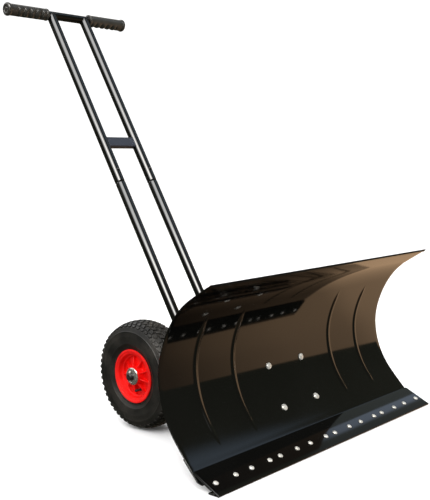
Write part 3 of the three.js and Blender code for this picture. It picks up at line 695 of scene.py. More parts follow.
def make_pivot_bracket():
    half_width = cad_box("pivot_bracket")[1].x
    half = BRACKET_THICK / 2
    line = stations(subdivided(front_line(173, 54), 4), half, SHEET + GAP + half)
    heights = [s[0].y for s in line]
    width = []
    for z in heights:
        inside = max(BRACKET_CORNER - min(z - min(heights), max(heights) - z), 0)
        cut = BRACKET_CORNER - sqrt(max(BRACKET_CORNER ** 2 - inside ** 2, 0))
        width.append((half_width - cut) / half_width)
    solid = Solid()
    sheet_plate(solid, line, [-half_width, -40, 0, 40, half_width], width=width)
    solid.replace("pivot_bracket", "black_paint", "blade", sharp=40)


# ---------- bolts on the blade

STRIP_BOLTS = [f"strip_bolt_{i:02d}" for i in range(1, 17)]
STRIP_BOLT_DOWN = 42.6
CENTRE_BOLTS = ("lower_left", "lower_right", "upper_left", "upper_right")
CENTRE_BOLT_HEIGHTS = {"lower": 72, "upper": 155}


def through_bolt(node, nut_name, front, back, outward, head, washer, nut_size, steps):
    """A carriage bolt's head in front and, as a piece of its own, a washer and nut behind."""
    solid = Solid()
    carriage_head(solid, front, outward, *head, steps)
    solid.replace(node, "zinc", "blade", sharp=40)
    bore, radius, thick = washer
    fixing = Solid()
    lathe(fixing, [(bore, 0), (radius, 0), (radius, thick), (bore, thick)], back, -outward, steps)
    nut(fixing, back - outward * (thick + 0.05), -outward, *nut_size)
    fixing.piece(nut_name, "zinc", "blade", sharp=30)


def make_blade_bolts():
    """Sixteen small bolts hold the wear strip and four larger ones the pivot bracket."""
    outward = on_blade(0, FOOT_OUT)
    for node in STRIP_BOLTS:
        x = cad_centre(node).x
        front = on_blade(x, foot_point(STRIP_BOLT_DOWN, GAP + 3 + 0.1))
        back = on_blade(x, foot_point(STRIP_BOLT_DOWN, -SHEET - 0.05))
        sizes = (5.2, 3, 10.3), (3.1, 5.6, 0.9), (9, 3.6, 3.05)
        through_bolt(node, f"strip_nut_{node[-2:]}", front, back, outward, *sizes, 24)
    for name in CENTRE_BOLTS:
        node = f"centre_bolt_{name}"
        z = CENTRE_BOLT_HEIGHTS[name.split("_")[0]]
        outward = front_normal(z)
        place = on_blade(cad_centre(node).x, front_point(z))
        back = place - outward * (SHEET + GAP + BRACKET_THICK + 0.05)
        sizes = (7.5, 4, 16), (4.2, 8.5, 1.4), (13, 6.4, 4.1)
        through_bolt(node, f"centre_nut_{name}", place + outward * 0.1, back, outward, *sizes, 32)


# ---------- pivot and clamp

PIVOT = cad_centre("pivot_barrel")
CLAMP = cad_centre("clamp_bolt")
AXLE = cad_centre("axle")


def flat_plate(node, outline, holes):
    """Replaces a CAD node by a laser-cut plate with softened edges, filled round its holes."""
    low, high = cad_box(node)
    thick = high.z - low.z
    edge = 0.35
    curve = bpy.data.curves.new(node, "CURVE")
    curve.dimensions = "2D"
    curve.fill_mode = "BOTH"
    curve.extrude = (thick / 2 - edge) * MM
    curve.bevel_depth = edge * MM
    curve.bevel_resolution = 1
    curve.offset = -edge * MM
    for loop in (outline, *holes):
        spline = curve.splines.new("POLY")
        spline.points.add(len(loop) - 1)
        for point, (x, y) in zip(spline.points, loop):
            point.co = (x * MM, y * MM, 0, 1)
        spline.use_cyclic_u = True
    temporary = bpy.data.objects.new(node, curve)
    scene.collection.objects.link(temporary)
    bpy.context.view_layer.update()
    graph = bpy.context.evaluated_depsgraph_get()
    mesh = temporary.evaluated_get(graph).to_mesh()
    solid = Solid()
    lift = Vector((0, 0, (low.z + high.z) / 2))
    solid.shell([v.co / MM + lift for v in mesh.vertices], [list(p.vertices) for p in mesh.polygons])
    bpy.data.objects.remove(temporary)
    bpy.data.curves.remove(curve)
    solid.replace(node, "black_paint", "blade", sharp=30, weld=0.01)


def sweep_points(radius, start, end, centre, steps=24):
    """Points on an arc, in degrees clockwise from +Y."""
    points = []
    for k in range(steps + 1):
        angle = radians(start + (end - start) * k / steps)
        points.append((centre[0] + radius * sin(angle), centre[1] + radius * cos(angle)))
    return points


def make_pivot_plates():
    centre = (PIVOT.x, PIVOT.y)
    hole = sweep_points(6.3, 0, 345, centre, 23)
    low, high = cad_box("sector_plate")
    slot_radius = CLAMP.y - PIVOT.y
    half_slot = 5.7
    reach = 30.4
    ends = [sweep_points(slot_radius, side * reach, side * reach, centre, 1)[0] for side in (1, -1)]
    slot = [
        *sweep_points(slot_radius + half_slot, -reach, reach, centre, 20),
        *sweep_points(half_slot, reach + 20, reach + 160, ends[0], 8),
        *sweep_points(slot_radius - half_slot, reach, -reach, centre, 20),
        *sweep_points(half_slot, 200 - reach, 340 - reach, ends[1], 8),
    ]
    sector = [(-45, low.y), *sweep_points(high.y - PIVOT.y, -45, 45, centre, 36), (45, low.y)]
    flat_plate("sector_plate", sector, [slot, hole])
    low, high = cad_box("pivot_ear")
    ear = [(-35, low.y), *sweep_points(high.y - PIVOT.y, -80, 80, centre, 28), (35, low.y)]
    flat_plate("pivot_ear", ear, [hole])


def make_pivot():
    low, high = cad_box("pivot_barrel")
    solid = Solid()
    pipe(solid, high.x, 6.4, (0, PIVOT.y, low.z), (0, PIVOT.y, high.z), 48, 0.6)
    solid.replace("pivot_barrel")

    up = (0, 0, 1)
    low, high = cad_box("pivot_bolt")
    end = high.z - low.z - 1
    solid = Solid()
    nut(solid, (0, PIVOT.y, low.z), up, 19, 7.5, 0)
    profile = [(0, 0), (6, 0), (6, end - 1), (5, end), (0, end)]
    lathe(solid, profile, (0, PIVOT.y, low.z + 1), up, 32)
    solid.replace("pivot_bolt", "zinc", "blade")

    low, high = cad_box("pivot_nut")
    solid = Solid()
    nut(solid, (0, PIVOT.y, low.z), up, 19, high.z - low.z, 6.1)
    solid.replace("pivot_nut", "zinc", "blade")


KNOB_LOBES = 6
KNOB_LOBE = 2.6
KNOB_RADIUS = 20.0


def make_clamp():
    low, high = cad_box("clamp_bolt")
    head_radius = (high.x - low.x) / 2
    solid = Solid()
    place = (0, CLAMP.y, cad_box("draw_bar")[0].z - GAP)
    carriage_head(solid, place, (0, 0, -1), head_radius, 5, high.z - place[2], 32)
    solid.replace("clamp_bolt", "zinc", "frame", sharp=40)

    low, high = cad_box("clamp_knob")

    def lobed(radius, reach, angle):
        share = min(max((reach - 8) / 4, 0), 1) * (radius > 12)
        return radius + share * KNOB_LOBE * cos(KNOB_LOBES * angle)

    height = high.z - low.z
    outer = KNOB_RADIUS
    profile = [
        (5.4, 0), (10.4, 0), (11, 0.6), (11, 8), (12.5, 9.4), (outer - 2.5, 10.4), (outer - 0.7, 11.3),
        (outer, 13), (outer, height - 4), (outer - 0.8, height - 1.8), (outer - 2.8, height - 0.5),
        (outer - 6, height), (11, height), (10, height - 0.8), (6.2, height - 0.8), (5.4, height - 1.6),
    ]
    place = (0, CLAMP.y, low.z)
    turned("clamp_knob", profile, place, (0, 0, 1), "black_plastic", "knob", 96, lobed, sharp=35)


# ---------- frame


def rounded_rectangle(width, height, radius):
    w, h = width / 2, height / 2
    return fillet([(-w, -h), (w, -h), (w, h), (-w, h)], radius, steps=5)


def inner_end(node, centre):
    """Where a part of a wheel begins, on its side nearest to the middle of the shovel."""
    low, high = cad_box(node)
    return Vector((min(low.x, high.x, key=abs), centre.y, centre.z))


def evenly(outline, count):
    """Points at equal steps round a closed outline."""
    loop = [*outline, outline[0]]
    lengths = [(b - a).length for a, b in zip(loop, loop[1:])]
    points = []
    for k in range(count):
        left = k / count * sum(lengths)
        for a, b, length in zip(loop, loop[1:], lengths):
            if left <= length and length > 0:
                points.append(a.lerp(b, left / length))
                break
            left -= length
    return points


def box_section(node, outer, inner, place, slot="black_paint"):
    """Replaces a CAD node by a box section; place puts a point of an outline at end 0 or 1."""
    solid = Solid()
    order = (outer, 0), (outer, 1), (inner, 1), (inner, 0)
    solid.rings([[place(p, end) for p in outline] for outline, end in order], capped=False, looped=True)
    solid.replace(node, slot, sharp=25)


def make_axle():
    tube_along_x("axle_tube", AXLE, 8.6, "black_paint", "frame", 48, 0.5)

    high = cad_box("axle")[1]
    half, radius = high.x, high.z - AXLE.z
    profile = [(0, -half), (radius - 1.2, -half), (radius, -half + 1.2)]
    profile += [(r, -x) for r, x in reversed(profile)]
    turned("axle", profile, AXLE, (1, 0, 0), "dark_steel", "frame")

    for side, sign in SIDES:
        tube_along_x(f"axle_spacer_{side}", AXLE, 8.6, "zinc", "frame", 40, 0.4)

        node = f"hub_washer_{side}"
        low, high = cad_box(node)
        thick = high.x - low.x
        radius = high.z - AXLE.z
        profile = [
            (8.5, 0), (radius - 0.3, 0), (radius, 0.4), (radius - 0.5, 1.2),
            (radius * 0.84, thick * 0.72), (radius * 0.7, thick * 0.94), (radius * 0.58, thick), (8.5, thick),
        ]
        place, way = inner_end(node, AXLE), (sign, 0, 0)
        # the hub washers take the darker copy of the zinc, which is painted shade
        turned(node, profile, place, way, "zinc", "frame", 56, sharp=50, look="washer_steel")
        make_cotter(side)


def make_cotter(side):
    """A split pin: two legs through the axle, an eye on top and the ends bent apart."""
    x = cad_centre(f"cotter_pin_{side}").x
    eye_z = AXLE.z + 11.3
    angles = spread(25, 335, 31)
    eye = [(x, AXLE.y + 2.4 * sin(a), eye_z - 2.0 * cos(a)) for a in angles]
    solid = Solid()
    for lean, start in ((1, eye[0]), (-1, eye[-1])):
        bends = ((0.72, 8.6), (0.72, -8.4), (1.6, -10.2), (4.4, -12.4))
        leg = [start, *((x, AXLE.y + lean * aside, AXLE.z + up) for aside, up in bends)]
        wire(solid, leg, [0.68] * len(leg))
    wire(solid, eye, [0.72] * len(eye))
    solid.replace(f"cotter_pin_{side}", "zinc", "frame", sharp=60)


def make_draw_bar():
    low, high = cad_box("draw_bar")
    width, height = high.x - low.x, high.z - low.z
    middle = (low.z + high.z) / 2
    barrel = cad_box("pivot_barrel")[1].x + GAP
    axle_tube = cad_box("axle_tube")[1].z - AXLE.z + GAP

    def place(p, end):
        if end:
            y = AXLE.y - sqrt(max(axle_tube ** 2 - (p.y + middle - AXLE.z) ** 2, 0))
        else:
            y = PIVOT.y + sqrt(max(barrel ** 2 - p.x ** 2, 0))
        return Vector((p.x, y, middle + p.y))

    outer = evenly(rounded_rectangle(width, height, 4), 96)
    inner = evenly(rounded_rectangle(width - 5, height - 5, 1.6), 96)
    box_section("draw_bar", outer, inner, place)


def make_cross_member():
    low, high = cad_box("cross_member")
    centre = (low + high) / 2
    width, height = high.y - low.y, high.z - low.z

    def place(p, end):
        return Vector((high.x if end else low.x, centre.y + p.x, centre.z + p.y))

    outer = rounded_rectangle(width, height, 3.2)
    inner = rounded_rectangle(width - 4, height - 4, 1.2)
    box_section("cross_member", outer, inner, place)
    outline = rounded_rectangle(width - 0.6, height - 0.6, 2.6)
    for side, sign in SIDES:
        plug = Solid()
        origin = (sign * high.x + (0.1 if sign > 0 else -2.1), centre.y, centre.z)
        prism(plug, outline, origin, (0, 1, 0), (0, 0, 1), 2, 0.7)
        plug.piece(f"cross_member_plug_{side}", "black_plastic", "frame", sharp=40)


# ---------- handle

BAR = cad_centre("crossbar")
TUBE_X = abs(cad_centre("upper_tube_left").x)
HANDLE_REACH = (259.0, 444.5)  # back and up, from the joint to the crossbar
HANDLE = Vector((0, *HANDLE_REACH)).normalized()
HANDLE_FRONT = Vector((0, -HANDLE.z, HANDLE.y))
JOINT_BELOW_BAR = hypot(*HANDLE_REACH)
TUBE_RADIUS = 12.4
TUBE_BORE = 11.1
NECK_RADIUS = 10.8
NECK_BORE = 9.3
NECK_LENGTH = 90.0
CROSSBAR_RADIUS = 11.0
SADDLE_DEPTH = 3.4  # how far the upper tubes' sides still reach below the crossbar's middle
BUTTON_ABOVE_JOINT = 31.0
BRACE_ABOVE_JOINT = 115.5
BRACE_SIZE = (14, 28)


def handle_point(x, above_joint):
    return Vector((x, BAR.y, BAR.z)) + HANDLE * (above_joint - JOINT_BELOW_BAR)


def foot_on(x, z):
    """Where a handle tube's centre line crosses a height."""
    joint = handle_point(x, 0)
    return joint - HANDLE * ((joint.z - z) / HANDLE.z)


def under_bar(front, radius):
    """How far below the crossbar's middle a point of a tube meets it."""
    return max(sqrt(max(radius ** 2 - front ** 2, 0)), SADDLE_DEPTH)


def make_lower_tube(side, x):
    """Cut flat at its foot, and drawn down to a neck that fits inside the upper tube."""
    joint = handle_point(x, 0)
    foot = foot_on(x, cad_box("cross_member")[1].z + GAP)
    along, first, second = frame_along(HANDLE)
    length = (joint - foot).length
    end = length + NECK_LENGTH
    profile = [
        (TUBE_BORE, 0), (TUBE_RADIUS, 0), (TUBE_RADIUS, length - 4.6), (TUBE_RADIUS - 0.2, length - 3.9),
        (NECK_RADIUS + 0.25, length - 0.9), (NECK_RADIUS, length - 0.3), (NECK_RADIUS, end - 0.4),
        (NECK_RADIUS - 0.4, end), (NECK_BORE, end), (NECK_BORE, length - 0.3), (TUBE_BORE, length - 4.3),
    ]
    rings = []
    for radius, reach in profile:
        ring = []
        for angle in circle(56):
            across = on_circle(angle, radius, first, second)
            shift = -across.z / HANDLE.z if reach == 0 else 0
            ring.append(foot + across + along * (reach + shift))
        rings.append(ring)
    solid = Solid()
    solid.rings(rings, capped=False, looped=True)
    solid.replace(f"lower_tube_{side}")


def make_handle_tubes():
    def around_bar(across):
        return -under_bar(across.dot(HANDLE_FRONT), CROSSBAR_RADIUS + 0.1)

    for side, sign in SIDES:
        x = sign * TUBE_X
        make_lower_tube(side, x)

        solid = Solid()
        top = handle_point(x, JOINT_BELOW_BAR)
        pipe(solid, TUBE_RADIUS, TUBE_BORE, handle_point(x, 0), top, 56, 0.5, around_bar)
        solid.replace(f"upper_tube_{side}")

        button = handle_point(x, BUTTON_ABOVE_JOINT)
        rim = Solid()
        profile = [(4.0, 0), (5.1, 0), (5.3, 0.35), (4.8, 0.62), (4.1, 0.5)]
        lathe(rim, profile, button + HANDLE_FRONT * (TUBE_RADIUS - 0.5), HANDLE_FRONT, 32)
        rim.piece(f"button_rim_{side}", "black_paint", "frame")

        node, body = f"snap_button_{side}", f"button_{side}"
        tip = button + HANDLE_FRONT * (TUBE_RADIUS + 3)
        profile = [(0, -7), (3.2, -7), (3.5, -6.7), (3.5, -2), (3.35, -1.2), (2.9, -0.6), (2.1, -0.2)]
        profile += [(1, -0.02), (0, 0)]
        turned(node, profile, tip, HANDLE_FRONT, "dark_steel", body, 32, sharp=50)

    tube_along_x("crossbar", BAR, 9.3, "black_paint", "frame", 56, 0.5, CROSSBAR_RADIUS)


def make_cross_brace():
    centre = handle_point(0, BRACE_ABOVE_JOINT)
    reach = TUBE_RADIUS + 0.15
    depth, height = BRACE_SIZE

    def place(p, end):
        x = TUBE_X - sqrt(reach ** 2 - p.x ** 2)
        return centre + Vector((x if end else -x, 0, 0)) + HANDLE_FRONT * p.x + HANDLE * p.y

    outer = evenly(rounded_rectangle(depth, height, 2.6), 72)
    inner = evenly(rounded_rectangle(depth - 3, height - 3, 1.2), 72)
    box_section("cross_brace", outer, inner, place, "slate_paint")


GRIP_RADIUS = 16.0
GRIP_PITCH = 18.3
GRIP_WAVES = 5
GRIP_FIRST = 14.0
GRIP_SWELL = 0.9
GRIP_GROOVE = 4.6
GRIP_FINGERS = {"left": 212, "right": 268}  # middle of the finger side, from +Y towards +Z
GRIP_WRAP = (78, 30)  # degrees from that middle where the grooves begin and are at full depth
GRIP_STEPS = 150


def make_grip(side, sign):
    """A moulded grip: collar, finger waves along one side and a domed end."""
    low, high = cad_box(f"grip_{side}")
    length = high.x - low.x
    first_wave = GRIP_FIRST - GRIP_PITCH / 2
    last_wave = first_wave + GRIP_WAVES * GRIP_PITCH
    finger = radians(GRIP_FINGERS[side])
    axis, first, second = frame_along((sign, 0, 0))
    outer_wrap, inner_wrap = (radians(a) for a in GRIP_WRAP)

    def shape(radius, reach, angle):
        if radius < 13 or reach > length - 3:
            return radius
        way = on_circle(angle, 1, first, second)
        away = abs((atan2(way.z, way.y) - finger + pi) % (2 * pi) - pi)
        wrap = smooth_step(outer_wrap, inner_wrap, away)
        begun = smooth_step(first_wave, first_wave + 3, reach)
        inside = begun * (1 - smooth_step(last_wave - 3, last_wave, reach))
        wave = 0.5 - 0.5 * cos(2 * pi * (reach - first_wave) / GRIP_PITCH)
        return radius + (GRIP_SWELL - GRIP_GROOVE * (1 - wave) ** 1.6) * wrap * inside

    # the collar, the long middle and the domed end, as steps off the grip's radius
    collar = [(-0.8, 0), (-0.2, 0.4), (0, 1.2), (0, 3.4), (-0.5, 4.2), (-0.7, 5)]
    middle = [(-0.7, 5 + (length - 15) * k / GRIP_STEPS) for k in range(1, GRIP_STEPS)]
    dome = [(-0.4, 10), (0.7, 8.2), (1.1, 6.6), (1.1, 4.2), (0.3, 2.2), (-1.6, 0.7), (-3.2, 0)]
    dish = [(9.2, 0), (8.6, 0.5), (8.2, 1.2), (5.4, 1.2), (5.0, 0.6), (4.4, 0.4), (0, 0.4), (0, 4), (11.4, 4)]
    profile = [(11.4, 0), *((GRIP_RADIUS + off, reach) for off, reach in collar + middle)]
    profile += [(GRIP_RADIUS + off, length - back) for off, back in dome]
    profile += [(radius, length - back) for radius, back in dish]
    place = inner_end(f"grip_{side}", BAR)
    turned(f"grip_{side}", profile, place, axis, "grip_rubber", "frame", 72, shape, sharp=50)


# ---------- wheels

TYRE_OUTLINE = [
    (55.5, -33, 0.5), (55.5, -28, 0.5), (86, -36.6, 12), (108, -24, 10), (113, 0, 60), (108, 24, 10),
    (86, 36.6, 12), (55.5, 28, 0.5), (55.5, 33, 0.5), (61.5, 33.6, 1), (62.6, 35, 0.4), (64.4, 35.4, 0.4),
    (65.4, 35.6, 0.4), (71, 38.6, 6), (72.2, 39.5, 0.4), (73.6, 40.0, 0.4), (74.6, 39.7, 0.4),
    (89, 41.5, 16), (99, 40.4, 6), (100.2, 40.9, 0.4), (101.4, 40.5, 0.4), (102.2, 39.4, 0.4),
    (110, 35.8, 4), (115.6, 24, 16), (119.2, 0, 90),
]
TREAD_PITCHES = 52
TREAD_CROWN = 119.2
TREAD_DROP = 9.2
TREAD_EDGE = 36.0
TREAD_POWER = 2.2
TREAD_HEIGHT = 2.6
TREAD_OUTLINE = fillet([(-1, -1), (1, -1), (1, 1), (-1, 1)], 0.35, steps=2)


def tread_radius(x):
    return TREAD_CROWN - TREAD_DROP * (abs(x) / TREAD_EDGE) ** TREAD_POWER


def tread_block(solid, centre_x, angle, half_x, half_turn, skew, tyre_x, sign):
    """One tapered block; skew slants it across the tread."""
    rings = []
    fall = TREAD_DROP * TREAD_POWER / TREAD_EDGE * (abs(centre_x) / TREAD_EDGE) ** (TREAD_POWER - 1)
    fall = copysign(fall, centre_x)
    tilt = hypot(1, fall)
    for lift, share in ((-1.6, 1.08), (TREAD_HEIGHT * 0.82, 0.97), (TREAD_HEIGHT, 0.84)):
        ring = []
        for p in TREAD_OUTLINE:
            x = centre_x + p.x * half_x * share
            turn = angle + (p.y * half_turn * share + skew * (x - centre_x)) / TREAD_CROWN
            radius = tread_radius(x) + lift / tilt
            ring.append(Vector((
                tyre_x + sign * (x + lift * fall / tilt),
                AXLE.y + radius * cos(turn),
                AXLE.z + radius * sin(turn),
            )))
        rings.append(ring)
    solid.rings(rings)


TREAD_ROWS = [
    # middle of the row, half length across, half length round, skew, phase
    (0, 4.4, 5.0, 0.55, 0.0),
    (-11.0, 4.6, 4.7, -0.45, 0.5),
    (11.0, 4.6, 4.7, -0.45, 0.5),
    (-22.4, 4.7, 4.9, 0.3, 0.0),
    (22.4, 4.7, 4.9, 0.3, 0.0),
    (-32.2, 3.4, 4.3, 0.0, 0.5),
    (32.2, 3.4, 4.3, 0.0, 0.5),
]


def make_tyre(side, sign):
    tyre_x = cad_centre(f"tyre_{side}").x
    mirrored = [(r, -a, c) for r, a, c in reversed(TYRE_OUTLINE[9:24])]
    solid = Solid()
    lathe(solid, fillet([*TYRE_OUTLINE, *mirrored], 1, steps=5), (tyre_x, AXLE.y, AXLE.z), (sign, 0, 0), 128)
    for pitch in range(TREAD_PITCHES):
        for row_x, half_x, half_turn, skew, phase in TREAD_ROWS:
            angle = (pitch + phase) * 2 * pi / TREAD_PITCHES
            tread_block(solid, row_x, angle, half_x, half_turn, skew, tyre_x, sign)
    solid.replace(f"tyre_{side}", "tyre_rubber", f"wheel_{side}", sharp=30)


RIM_OUTLINE = [
    (10.5, -30, 0.5), (19, -30, 1), (19, 13, 1.5), (49.5, 13, 3), (50.5, -36.5, 0.6), (60.5, -36.5, 1.2),
    (60.5, -33.7, 0.3), (54.9, -33.3, 0.5), (54.9, 33.3, 0.5), (60.5, 33.7, 0.3), (60.5, 36.5, 1.4),
    (56.2, 36.5, 1.0), (54.6, 35.0, 1.0), (50.4, 34.2, 1.6), (47.6, 25.0, 2.0), (44.2, 24.0, 1.2),
    (42.6, 18.0, 1.2), (21, 18.0, 1.5), (19.4, 36, 1.2), (10.5, 36, 0.4),
]
RIM_RIBS = 9
RIM_RIB_PHASE = radians(27)
RIM_RIB_THICK = 2.2
RIM_RIB_OUTLINES = (
    [(19.0, 17.5), (43.4, 17.5), (44.0, 23.0), (40, 23.4), (24, 29.5), (19.0, 31.5)],
    [(18.5, 13.5), (50.0, 13.5), (50.0, -8), (42, -2), (24, -10), (18.5, -14)],
)


def make_rim(side, sign):
    place = Vector((cad_centre(f"rim_{side}").x, AXLE.y, AXLE.z))
    axis = Vector((sign, 0, 0))
    solid = Solid()
    lathe(solid, fillet(RIM_OUTLINE, 1, steps=5), place, axis, 120)
    for rib in range(RIM_RIBS):
        turn = RIM_RIB_PHASE + rib * 2 * pi / RIM_RIBS
        out = Vector((0, sin(turn) * sign, cos(turn)))
        start = place - out.cross(axis) * RIM_RIB_THICK / 2
        for outline in RIM_RIB_OUTLINES:
            prism(solid, fillet(outline, 1.2), start, out, axis, RIM_RIB_THICK, 0.5)
    solid.replace(f"rim_{side}", "red_plastic", f"wheel_{side}")
    tube_along_x(f"hub_bush_{side}", AXLE, 8.35, "bearing_bronze", f"wheel_{side}", 40, 0.3)


def make_valve(side, sign):
    """Rubber valve stem with a knurled dust cap."""
    node, body = f"valve_stem_{side}", f"wheel_{side}"
    low, high = cad_box(node)
    length = high.x - low.x
    neck = length - length * 0.52

    def knurled(radius, reach, angle):
        return radius - (0.22 if radius > 2.7 and reach > neck and cos(16 * angle) > 0 else 0)

    profile = [
        (0, 0), (3.4, 0), (3.4, 1), (2.6, 2), (2.3, neck - 0.4), (2.8, neck), (3.0, neck + 0.5),
        (3.0, length - 1.2), (2.3, length - 0.3), (1.2, length), (0, length),
    ]
    place = inner_end(node, cad_centre(node))
    turned(node, profile, place, (sign, 0, 0), "black_plastic", body, 64, knurled, sharp=50)


# ---------- welds


def weld_piece(name, paths, size, body="frame", slot="black_paint"):
    solid = Solid()
    for i, path in enumerate(paths):
        weld_bead(solid, path, size, i + len(name))
    solid.piece(name, slot, body, sharp=60)


def make_welds():
    bar_low, bar_high = cad_box("draw_bar")
    radius = cad_box("pivot_barrel")[1].x * 1.02
    arc = [(radius * sin(a), PIVOT.y + radius * cos(a)) for a in spread(-48, 48, 8)]
    seams = [[(*p, z) for p in arc] for z in (bar_low.z + 0.2, bar_high.z - 0.2)]
    weld_piece("weld_barrel", seams, 1.6)

    radius = cad_box("axle_tube")[1].z - AXLE.z + 0.6
    arc = [(AXLE.y - radius * cos(a), AXLE.z + radius * sin(a)) for a in spread(-70, 70, 10)]
    weld_piece("weld_axle_tube", [[(x, *p) for p in arc] for x in (-bar_high.x, bar_high.x)], 1.9)

    low, high = cad_box("cross_member")
    end = bar_high.x - 3
    seams = [[(-end, y, low.z), (end, y, low.z)] for y in (low.y, high.y)]
    weld_piece("weld_cross_member", seams, 1.9)

    for side, sign in SIDES:
        x = sign * TUBE_X
        foot = foot_on(x, high.z + 0.4)
        across, back = Vector((TUBE_RADIUS, 0, 0)), Vector((0, TUBE_RADIUS / HANDLE.z, 0))
        ring = [foot + on_circle(a, 1, across, back) for a in spread(0, 360, 15)]
        weld_piece(f"weld_handle_foot_{side}", [ring], 1.6)

        saddle = []
        for a in spread(0, 360, 12):
            front = TUBE_RADIUS * sin(a)
            up = JOINT_BELOW_BAR - under_bar(front, CROSSBAR_RADIUS)
            saddle.append(handle_point(x + TUBE_RADIUS * cos(a), up) + HANDLE_FRONT * front)
        weld_piece(f"weld_handle_top_{side}", [saddle], 1.3)

        end = sign * (TUBE_X - sqrt(TUBE_RADIUS ** 2 - 7 ** 2))
        seams = []
        for front, along in ((7, 13), (-7, -13)):
            ends = (handle_point(end, BRACE_ABOVE_JOINT + up) for up in (along, -along))
            seams.append([p + HANDLE_FRONT * front for p in ends])
        weld_piece(f"weld_brace_{side}", seams, 1.1, slot="slate_paint")

    rear = ARC_RADIUS + SHEET + GAP + BRACKET_THICK
    for node, half in (("sector_plate", 40), ("pivot_ear", 31)):
        seams = []
        for corner in cad_box(node):
            y = ARC_Y + sqrt(rear ** 2 - (corner.z - ARC_Z) ** 2)
            seams.append([(-half, y, corner.z), (half, y, corner.z)])
        weld_piece(f"weld_{node}", seams, 1.5, "blade")


def make_everything():
    for make in (
        make_blade_sheet, make_wear_strip, make_stiffener, make_pivot_bracket, make_blade_bolts,
        make_pivot_plates, make_pivot, make_clamp, make_axle, make_draw_bar, make_cross_member,
        make_handle_tubes, make_cross_brace,
    ):
        make()
    for side, sign in SIDES:
        for make in (make_grip, make_tyre, make_rim, make_valve):
            make(side, sign)
    make_welds()


make_everything()

# ---------- floor, light and what the gloss reflects

FLOOR_HALF = 9.0
FLOOR_Z = -0.0005
DOME_RADIUS = 14.0


def staged(name, mesh, material):
    obj = bpy.data.objects.new(name, mesh)
    scene.collection.objects.link(obj)
    mesh.materials.append(material)
    return obj


def make_floor():
    n = Nodes("floor")
    tone = n.blend(n.remap(n.noise(1.2, 2, 0.5), 0.3, 0.7, 0, 1), (0.93, 0.93, 0.93), (0.96, 0.96, 0.96))
    mesh = bpy.data.meshes.new("floor")
    corners = ((-1, -1), (1, -1), (1, 1), (-1, 1))
    mesh.from_pydata([(x * FLOOR_HALF, y * FLOOR_HALF, FLOOR_Z) for x, y in corners], [], [[0, 1, 2, 3]])
    floor = staged("floor", mesh, n.finish(tone, 0.9))
    floor.visible_glossy = False
    floor.visible_diffuse = False


# Directions are an azimuth from +X towards +Y and an elevation, in degrees.
# Soft boxes: middle azimuth, half width, side softness, low edge and its softness,
# high edge and its softness, colour.
SOFT_BOXES = [
    (-146, 20, 38, 40, 16, 66, 8, (10.8, 10.8, 10.7)),
    (-140, 5, 22, 40, 6, 47, 8, (27.0, 26.0, 24.6)),
    (6, 14, 4, 27, 2, 39.5, 3, (0.22, 0.25, 0.24)),
    (90, 45, 20, 30, 14, 64, 12, (2.0, 2.0, 2.0)),
]
# warm ground in front of the blade, ending at a line that climbs with the azimuth, brighter towards +X
GROUND_MIDDLE = -10
GROUND_HALF_WIDTH = 50
GROUND_SIDE_SOFTNESS = 12
GROUND_LOW = -45
GROUND_LOW_SOFTNESS = 10
GROUND_EDGE_ZERO = -46.6
GROUND_EDGE_CLIMB = 0.55
GROUND_EDGE_LIMITS = (-0.05, 0.16)  # radians above the horizon
GROUND_SOFTNESS = 1.5
GROUND_TINT = (1.55, 1.0, 0.58)
# the X part of a direction, and how bright the ground is up to there
GROUND_STRENGTH = ((0.64, 0.16), (0.70, 0.42), (0.76, 0.62), (0.81, 0.66), (0.83, 1.0))
GROUND_FALL = (-38, -5, 0.55)  # dims to this share between these azimuths
# cool band that meets the dark above a slanting line
BAND_CLIMB = 0.62
BAND_LEVEL = (17.2, 20.0)
BAND_START = (-60, -50)
BAND_END = (-10, -14)
BAND_COLOUR = (0.5, 0.64, 0.8)
# cool streak along the lower half of the wear strip
STREAK_LEAN = 0.27
STREAK_MIDDLE = 33.5
STREAK_START = (0, 3)
STREAK_SIDE = (7.2, 6.4)
STREAK_LOW = (25, 28)
STREAK_HIGH = (41, 38.5)
STREAK_COLOUR = (0.72, 0.87, 1.1)
DARK = (0.085, 0.09, 0.06)


